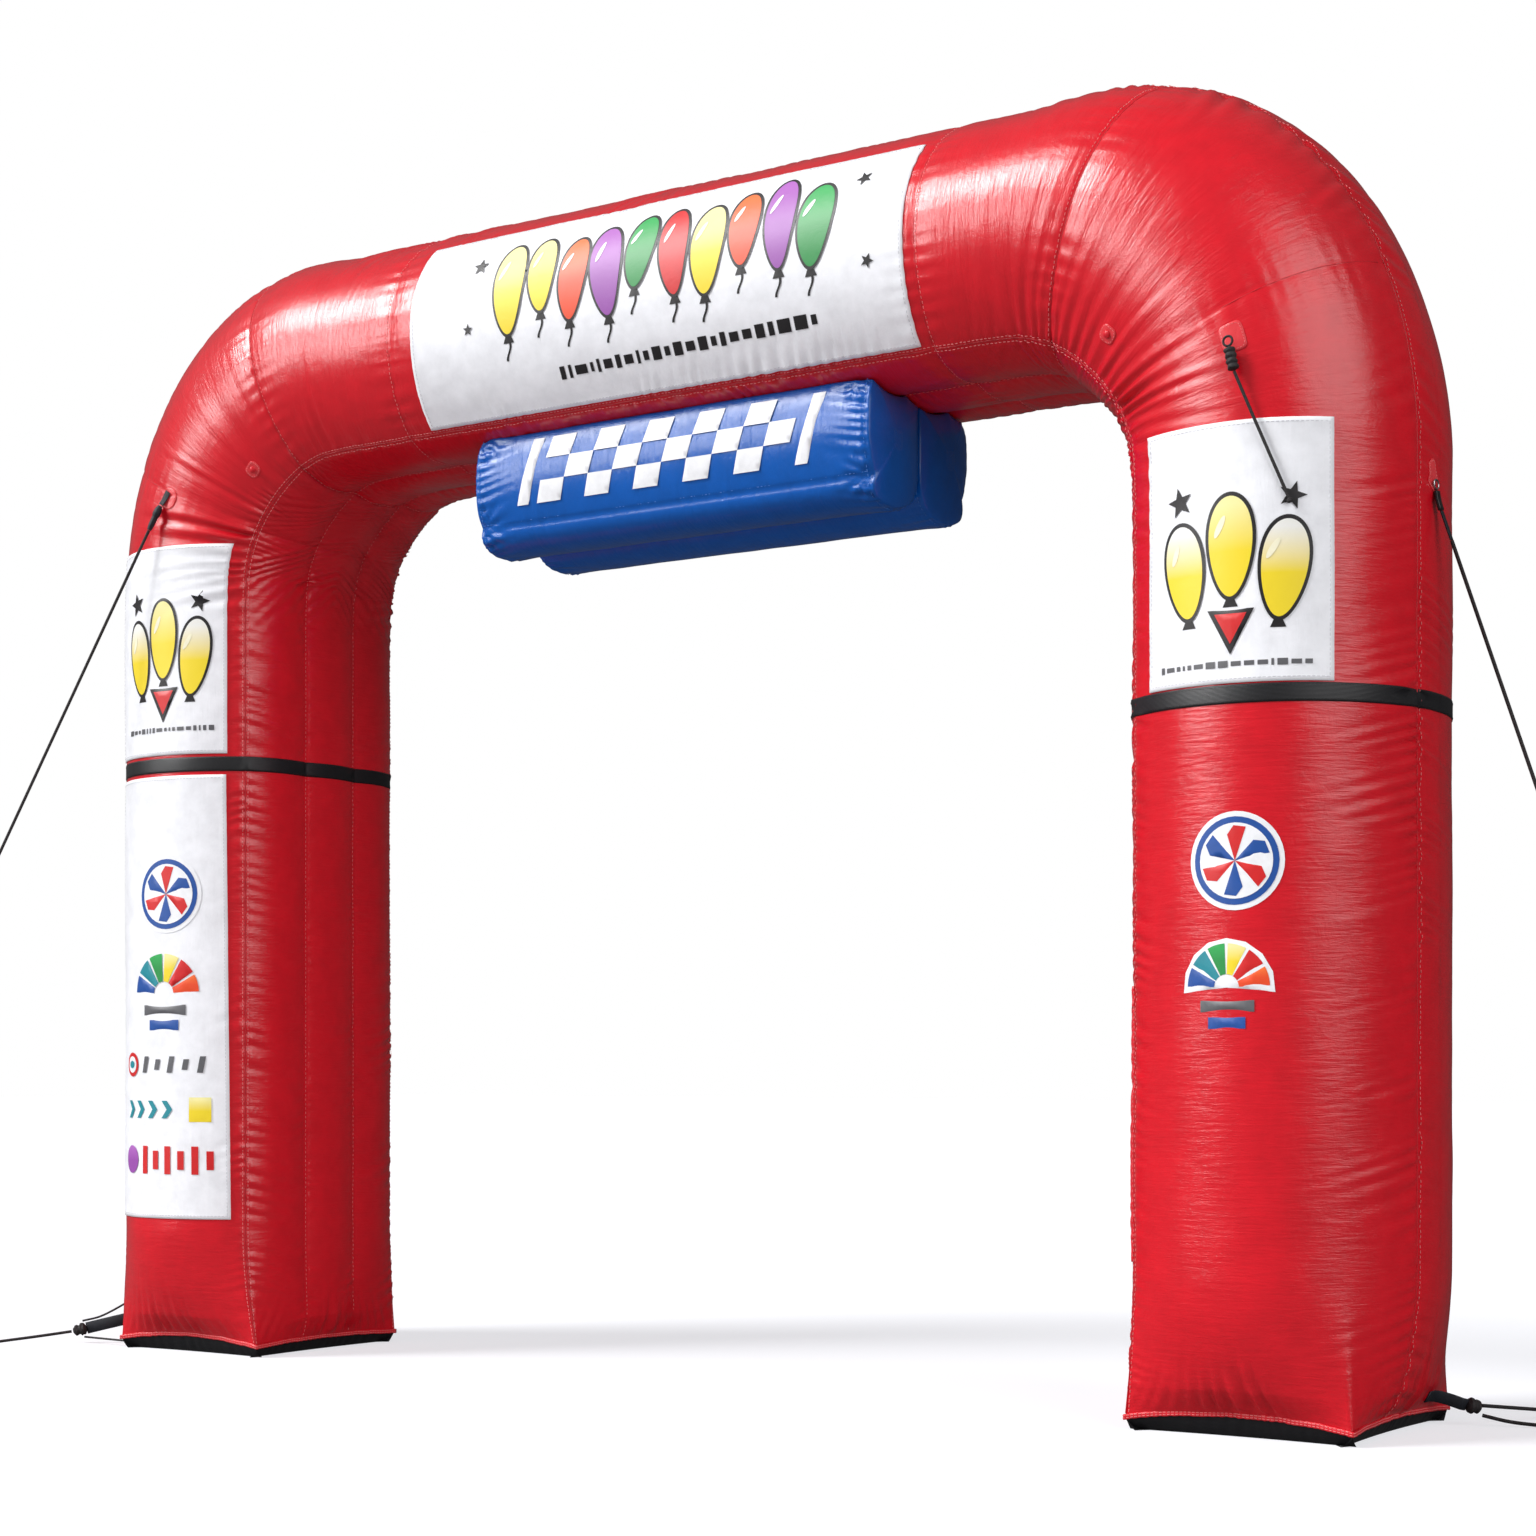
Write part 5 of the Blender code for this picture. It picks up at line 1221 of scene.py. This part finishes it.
def patch_look(name, side, s, g, half_across, half_up, node_name, power=3.0):
    """Welded patch with a rounded edge and a stitched outline, half_across round the tube."""
    t = full_turn(48)
    ex, ey = (np.sign(wave) * np.abs(wave) ** (2 / power) for wave in (np.cos(t), np.sin(t)))

    def loop(ex, ey, scale_across, scale_up, lift):
        arcs = np.mod(float(arc_of(g)) + ex * half_across * scale_across, ARC_END)
        return surface(side, s + ey * half_up * scale_up, g_of_arc(arcs), lift)

    rows = [loop(ex, ey, scale, scale, PATCH_FOOT if share is None else PATCH_RISE * share)[0]
            for scale, share in PATCH_LOOPS]
    points, faces = capped(rows, ((0, rows[0].mean(0)), (len(rows) - 1, rows[-1].mean(0))))
    make_piece(name, points, faces, PATCH, "red_trim", node_name, uvs=np.array(points)[:, [0, 2]])
    line = loop(np.append(ex, ex[0]), np.append(ey, ey[0]), 0.84, 0.86, PATCH_RISE)
    stitches(name + " stitches", [line], STITCH_LIGHT, "red_trim", 0.011, 0.007, 0.0022, 0.0010)


def turned(name, start, end, profile, material, slot, node_name, sides=24, twist=0.0):
    """Round piece along a line, from rows of (share of its length, radius)."""
    start, end = np.array(start, float), np.array(end, float)
    axis = unit(end - start)
    side = unit(np.cross(axis, (0.3, 0.9, 0.2)))
    other = np.cross(axis, side)
    a = full_turn(sides)
    circle = np.cos(a)[:, None] * side + np.sin(a)[:, None] * other
    rows = []
    for share in np.linspace(0, 1, 60):
        radius = np.interp(share, *np.array(profile).T)
        wobble = 1 + 0.05 * np.sin(3 * a + twist * share * 40)
        rows.append(start + (end - start) * share + circle * (radius * wobble)[:, None])
    points, faces = capped(rows, ((0, start), (len(rows) - 1, end)))
    make_piece(name, points, faces, material, slot, node_name)


def tube_curve(name, route, radius, material, cyclic=False):
    name = name.replace(" ", "_")
    curve = bpy.data.curves.new(name, "CURVE")
    curve.dimensions = "3D"
    curve.bevel_depth = radius
    curve.bevel_resolution = 4
    curve.use_fill_caps = True
    spline = curve.splines.new("POLY")
    spline.points.add(len(route) - 1)
    for point, position in zip(spline.points, route):
        point.co = (*[float(c) for c in position], 1.0)
    spline.use_cyclic_u = cyclic
    curve.materials.append(material)
    return add_object(name, curve)


def smooth_route(route, spacing):
    """Curve through the points of a route, about spacing apart."""
    knots = [np.array(p, float) for p in route]
    padded = [knots[0] * 2 - knots[1]] + knots + [knots[-1] * 2 - knots[-2]]
    result = [knots[0]]
    for number in range(1, len(padded) - 2):
        p0, p1, p2, p3 = padded[number - 1:number + 3]
        pieces = max(1, round(float(np.linalg.norm(p2 - p1)) / spacing))
        for piece in range(1, pieces + 1):
            t = piece / pieces
            result.append(0.5 * (2 * p1 + (p2 - p0) * t + (2 * p0 - 5 * p1 + 4 * p2 - p3) * t ** 2
                                 + (3 * p1 - p0 - 3 * p2 + p3) * t ** 3))
    return np.array(result)


STRAP_SECTION = ((-0.5, -0.3), (-0.46, -0.5), (0.0, -0.46), (0.46, -0.5), (0.5, -0.3), (0.5, 0.3),
                 (0.46, 0.5), (0.0, 0.46), (-0.46, 0.5), (-0.5, 0.3))


def strap_look(node_name, route, width, thick, across, material=STRAP, slot="black_webbing"):
    """Flat webbing with rounded edges along a route."""
    route = smooth_route(route, 0.008)
    across = np.array(across, float)
    d = unit(np.gradient(route, axis=0))
    w = unit(across - d * (d @ across)[:, None])
    n = np.cross(d, w)
    verts = np.stack([route + w * (a * width) + n * (b * thick) for a, b in STRAP_SECTION], 1)
    count, around = verts.shape[:2]
    ends = [tuple(start + k for k in range(around)) for start in (0, (count - 1) * around)]
    make_piece(node_name + " look", verts, [*grid_faces(count, around, wrap=True), *ends], material, slot,
               node_name, uvs=pairs_of(run_along(route), np.linspace(0, width, around)))


# rope: radius, spacing of its points, route
ROPES = {
    "rope_left": (0.0065, 0.2, ((-2.4875, -0.6382, 3.5388), (-3.184, -0.963, 1.980))),
    "rope_front_right": (0.0055, 0.03, (
        (2.5375, -0.6245, 3.5095), (2.578, -0.6110, 3.405), (2.620, -0.5960, 3.298),
        (2.662, -0.5800, 3.191), (2.7020, -0.5625, 3.0885))),
    "rope_outer_right": (0.0065, 0.2, ((3.0548, -0.0300, 2.9955), (3.3368, 0.0686, 2.0866))),
    "rope_base_left": (0.0065, 0.02, (
        (-3.1945, -0.4375, 0.0520), (-3.280, -0.555, 0.035), (-3.375, -0.691, 0.018),
        (-3.410, -0.800, 0.0085))),
    "rope_base_right_upper": (0.0065, 0.1, ((3.0250, 0.3490, 0.0690), (3.1575, 0.6160, 0.0352))),
    "rope_base_right_lower": (0.0065, 0.02, (
        (3.0275, 0.3440, 0.0360), (3.120, 0.3660, 0.0175), (3.2303, 0.3940, 0.0085))),
    "cord_base_left_upper": (0.0045, 0.015, (
        (-3.160, -0.405, 0.0985), (-3.0925, -0.340, 0.1240), (-3.020, -0.220, 0.200),
        (-2.966, -0.130, 0.285))),
    "cord_base_left_lower": (0.0045, 0.03, ((-3.150, -0.400, 0.0270), (-2.892, -0.400, 0.0240))),
}


def make_ropes():
    for name, (radius, spacing, route) in ROPES.items():
        points = smooth_route(route, spacing)
        obj = tube_curve(name + " look", points, radius, ROPE)
        attach(obj, "black_rope", name)


# patch: name, side, path length, steps round the tube, half sizes, node, roundness of its outline
PATCHES = (
    ("button patch right", 1, bend_path(44), 13.75, 0.028, 0.048, "patch_button_right"),
    ("button patch left", -1, bend_path(51), 14.05, 0.028, 0.048, "patch_button_left"),
    ("rope patch front right", 1, bend_path(19), 9.0, 0.040, 0.045, "patch_rope_front_right", 5.0),
    ("rope patch left", -1, bend_path(24), 10.0, 0.040, 0.045, "patch_rope_left", 2.6),
    ("rope patch outer right", 1, 3.217, 0.60, 0.030, 0.055, "patch_rope_outer_right", 2.0))
STUD = ((0, 0.013), (0.35, 0.0132), (0.6, 0.0118), (0.85, 0.007), (1.0, 0.001))
STRAP_LASHING = ((0, 0.008), (0.12, 0.014), (0.3, 0.017), (0.42, 0.015), (0.44, 0.013), (0.8, 0.0125),
                 (1, 0.009))
KNOT = ((0, 0.014), (0.15, 0.026), (0.40, 0.028), (0.50, 0.021), (0.58, 0.020), (0.68, 0.0235),
        (0.82, 0.024), (1, 0.012))
SMALL_KNOT = ((0, 0.006), (0.25, 0.0105), (0.75, 0.0105), (1, 0.006))
# strap: node, route, width, thickness, direction across it, and its material and slot if not plain strap
STRAPS = (
    ("webbing_left", ((-2.405, -0.6055, 3.700), (-2.425, -0.6068, 3.672), (-2.4395, -0.6145, 3.6475)),
     0.030, 0.0025, (1, 0, 0)),
    ("strap_outer_right", ((3.0235, -0.0410, 3.0965), (3.0368, -0.0363, 3.0535), (3.0540, -0.0303, 2.9980)),
     0.024, 0.006, (0, 1, 0)),
    ("buckle_outer_right", ((3.0105, -0.0510, 3.163), (3.0140, -0.0470, 3.135), (3.0225, -0.0425, 3.0985)),
     0.034, 0.011, (0, 1, 0), BUCKLE, "buckle_metal"),
    ("strap_base_left", ((-2.9220, -0.215, 0.136), (-2.929, -0.262, 0.126), (-3.020, -0.330, 0.100),
                         (-3.1435, -0.394, 0.0665)), 0.052, 0.008, (0, 0, 1)),
    ("strap_base_right", ((2.8980, 0.165, 0.108), (2.8970, 0.215, 0.107), (2.9040, 0.240, 0.104),
                          (2.9270, 0.262, 0.096), (2.9550, 0.274, 0.0865), (2.9758, 0.2866, 0.0778),
                          (2.9872, 0.3010, 0.0743)), 0.044, 0.006, (0.5, 0, 0.87)))
# eye at the far end of a rope: direction across its plane
ROPE_EYES = (("left", (0.9, 0, -0.4)), ("outer_right", (0, 1, 0.1)), ("base_left", (0, 0, 1)),
             ("base_right_upper", (0, 0, 1)), ("base_right_lower", (0, 0, 1)))


def wound_profile():
    """Four turns of rope that taper at both ends."""
    rows = []
    for t in np.linspace(0, 1, 121):
        fade = min(1.0, t / 0.06, (1 - t) / 0.06)
        rows.append((t, 0.009 + fade * (0.0065 + 0.0040 * abs(math.sin(math.pi * 4 * t)))))
    return rows


def make_studs():
    for (_, side, s, g, *_), label in zip(PATCHES, ("right", "left")):
        points, normals = surface(side, np.array([s]), np.array([float(g)]), PATCH_RISE)
        p, n = points[0], normals[0]
        turned("stud " + label, p + n * 0.0005, p + n * 0.0105, STUD, TRIM, "red_trim", "button_" + label)


def make_knots():
    turned("lashing front right", (2.519, -0.6245, 3.590), (2.536, -0.6245, 3.5135), wound_profile(),
           ROPE, "black_rope", "lashing_front_right", twist=0.3)
    turned("lashing left", (-2.441, -0.6165, 3.643), (-2.4871, -0.638, 3.5398), STRAP_LASHING,
           STRAP, "black_rope", "lashing_left")
    for label, start, end in (("left", (-3.1445, -0.3950, 0.0660), (-3.190, -0.430, 0.0530)),
                              ("right", (2.9880, 0.3020, 0.0740), (3.0205, 0.3430, 0.0640))):
        turned("knot base " + label, start, end, KNOT, ROPE, "black_rope", "knot_base_" + label, twist=0.4)
    turned("knot end front right", (2.7025, -0.5620, 3.0875), (2.7075, -0.5610, 3.0730), SMALL_KNOT, ROPE,
           "black_rope", "knot_front_right_end", sides=14)


def eye_look(name, end, along, flat, ring, radius, material=ROPE):
    """Ring of cord beyond an end, in the plane of along and across flat."""
    along = unit(np.array(along, float))
    normal = np.array(flat, float)
    normal = unit(normal - along * normal.dot(along))
    side = np.cross(along, normal)
    middle = np.array(end) + along * (ring + radius + 0.0005)
    t = full_turn(40)
    points = middle + (np.cos(t)[:, None] * along + np.sin(t)[:, None] * side) * ring
    attach(tube_curve(name + " look", points, radius, material, cyclic=True), "black_rope", name)


def make_eyes():
    for label, flat in ROPE_EYES:
        radius, _, route = ROPES["rope_" + label]
        along = np.array(route[-1], float) - np.array(route[-2], float)
        if flat == (0, 0, 1):
            along[2] = 0
        eye_look("eye_" + label, route[-1], along, flat, 0.028, radius)
    eye_look("loop_front_right", (2.519, -0.6245, 3.5910), (-0.20, 0, 1.0), (0, 1, 0), 0.016, 0.004)
    eye_look("loop_outer_right", (3.0102, -0.0512, 3.1645), (-0.05, -0.10, 1.0), (1.0, -0.1, 0), 0.016,
             0.0035, METAL)


def make_fittings():
    for row in PATCHES:
        patch_look(*row)
    make_studs()
    make_knots()
    for row in STRAPS:
        strap_look(*row)
    make_eyes()


# ---------------------------------------------------------------- zip
def zip_strip(name, low, high, span, lift, node_name, bulge):
    """Raised strip over a span of steps beyond the seam, with two piped edges if bulge is given."""
    g = g_of_arc(np.linspace(*(float(arc_of(SEAM_F + step)) for step in span), 25))
    s, gg = grid_of(spaced(low, high, 0.01), g)
    share = np.linspace(0, 1, len(g))[None, :]
    height = (lift * smooth(np.minimum(share, 1 - share), 0.0, 0.04) + bulge * bell(share - 0.30, 0.07)
              + bulge * bell(share - 0.78, 0.06))
    top, normals = surface(1, s, gg)
    points, faces = two_sided(top + normals * (height + 0.0004)[..., None], surface(1, s, gg, -0.001)[0])
    make_piece(name, points, faces, TRIM, "red_trim", node_name, uvs=[np.stack([s, arc_of(gg)], -1)] * 2)


def make_zip():
    """Zip cover: raised strip with two piped edges, and a patch at each end."""
    zip_strip("zip cover look", 0.650, 1.440, (0.25, 2.1), 0.0035, "zip_cover", 0.0022)
    zip_strip("zip patch top look", 1.441, 1.515, (0.2, 2.3), 0.0045, "zip_patch_top", 0.0)
    zip_strip("zip patch bottom look", 0.575, 0.649, (0.2, 2.3), 0.0045, "zip_patch_bottom", 0.0)
    s = spaced(0.60, 1.50, 0.02)
    rows = [surface(1, s, np.full_like(s, SEAM_F + step), 0.0048) for step in (0.45, 1.9)]
    stitches("zip stitches", rows, STITCH_LIGHT, "red_trim", 0.016, 0.010, 0.0026)


# ---------------------------------------------------------------- stage
# sun: direction towards it, strength, spread in degrees
SUNS = (("key", (-0.55, -0.50, 0.67), 2.9, 22.0), ("low key", (-0.60, -0.73, 0.34), 1.1, 20.0),
        ("right side", (0.80, -0.34, 0.48), 1.60, 50.0))


def mix_for_camera(tree, other, seen, output):
    """Send one shader to what the camera sees and another to all other rays."""
    path = tree.nodes.new("ShaderNodeLightPath")
    mix = tree.nodes.new("ShaderNodeMixShader")
    tree.links.new(path.outputs["Is Camera Ray"], mix.inputs[0])
    tree.links.new(other.outputs[0], mix.inputs[1])
    tree.links.new(seen.outputs[0], mix.inputs[2])
    tree.links.new(mix.outputs[0], tree.nodes[output].inputs["Surface"])


def make_floor():
    """Pale floor that reads white to the camera but still takes soft shadows."""
    material = new_material("pale floor", (0.40, 0.405, 0.42), 0.7, Emission_Color=(0.96, 0.965, 1.0, 1),
                            Emission_Strength=0.64, Specular_IOR_Level=0.0)
    bounce = node(material, "ShaderNodeBsdfDiffuse", Color=(0.40, 0.39, 0.40, 1))
    mix_for_camera(material.node_tree, bounce, shader_of(material), "Material Output")
    bpy.ops.mesh.primitive_plane_add(size=160, location=(0, 0, 0))
    floor = bpy.context.object
    floor.name = "floor"
    floor.visible_glossy = False
    floor.data.materials.append(material)


def make_lights():
    for name, towards, strength, spread in SUNS:
        data = bpy.data.lights.new(name, "SUN")
        data.energy = strength
        data.angle = math.radians(spread)
        lamp = add_object(name, data)
        lamp.location = Vector(towards) * 12
        lamp.rotation_euler = Vector(towards).to_track_quat("Z", "Y").to_euler()


def make_world():
    """White backdrop, and a softer studio round the arch: light in front and above, dim behind."""
    world = bpy.data.worlds.new("studio")
    bpy.context.scene.world = world
    world.use_nodes = True
    nodes, links = world.node_tree.nodes, world.node_tree.links
    back = nodes["Background"]
    back.inputs["Color"].default_value = (1.0, 1.0, 1.0, 1)
    back.inputs["Strength"].default_value = 1.0
    coord = nodes.new("ShaderNodeTexCoord")
    lean = nodes.new("ShaderNodeVectorMath")
    lean.operation = "DOT_PRODUCT"
    lean.inputs[1].default_value = (-0.30, -0.72, 0.62)
    span = nodes.new("ShaderNodeMapRange")
    for key, value in (("From Min", -0.6), ("From Max", 1.0), ("To Min", 0.06), ("To Max", 0.29)):
        span.inputs[key].default_value = value
    soft = nodes.new("ShaderNodeBackground")
    links.new(coord.outputs["Generated"], lean.inputs[0])
    links.new(lean.outputs["Value"], span.inputs["Value"])
    links.new(span.outputs["Result"], soft.inputs["Strength"])
    mix_for_camera(world.node_tree, soft, back, "World Output")


def make_camera():
    data = bpy.data.cameras.new("camera")
    data.lens = 64.08
    data.sensor_width = 36.0
    data.shift_y = 0.1944
    data.clip_end = 500
    camera = add_object("camera", data)
    camera.location = (6.264, -8.868, 1.241)
    camera.rotation_euler = (math.pi / 2, 0, math.radians(34.0))
    scene = bpy.context.scene
    scene.camera = camera
    scene.view_settings.view_transform = "Standard"
    scene.view_settings.look = "None"


def make_banners():
    beam = BeamBanner(-1.038, 1.258, -0.372, 0.360)
    leg_right = LegBanner(1, 2.497, 3.355, (-0.295, 0.333), (-0.295, 0.333))
    leg_left = LegBanner(-1, 2.575, 3.470, (-0.327, 0.325), (-0.327, 0.325))
    lower = LegBanner(-1, 0.590, 2.485, (-0.323, 0.360), (-0.340, 0.392))
    banner_sheet("beam banner", beam, "banner_beam")
    banner_sheet("right leg banner", leg_right, "banner_leg_right")
    banner_sheet("left leg banner", leg_left, "banner_leg_left_upper")
    banner_sheet("left lower banner", lower, "banner_leg_left_lower")
    print_beam(beam)
    print_leg(leg_right, "right", 0.0, 1.0, 0.44, 8)
    print_leg(leg_left, "left", 0.14, 0.86, 0.475, 9)
    print_lower(lower)


def print_bare_leg():
    """Badge and colour fan printed on the right leg's own cloth."""
    bare = LegBanner(1, 1.0, 2.4, (-0.334, 0.333), (-0.334, 0.333))
    badge(bare, "right leg", bare.width * 0.45 + 0.075, 0.915, 0.145, "red_trim", 0.0016)
    rainbow(bare, "right leg", bare.width * 0.45 + 0.045, 0.500, 0.145, "red_trim", 0.0016, rim=True)


def main():
    make_camera()
    make_floor()
    make_world()
    make_lights()
    make_tube()
    make_seams()
    make_banners()
    print_bare_leg()
    for number, (side, label) in enumerate(SIDES):
        seed = 21 + 6 * number
        make_band(side, "band_" + label)
        make_binding(side, label, seed)
        make_panel(side, label, seed)
    make_sign(True)
    make_sign(False)
    print_sign()
    make_zip()
    make_fittings()
    make_ropes()


main()
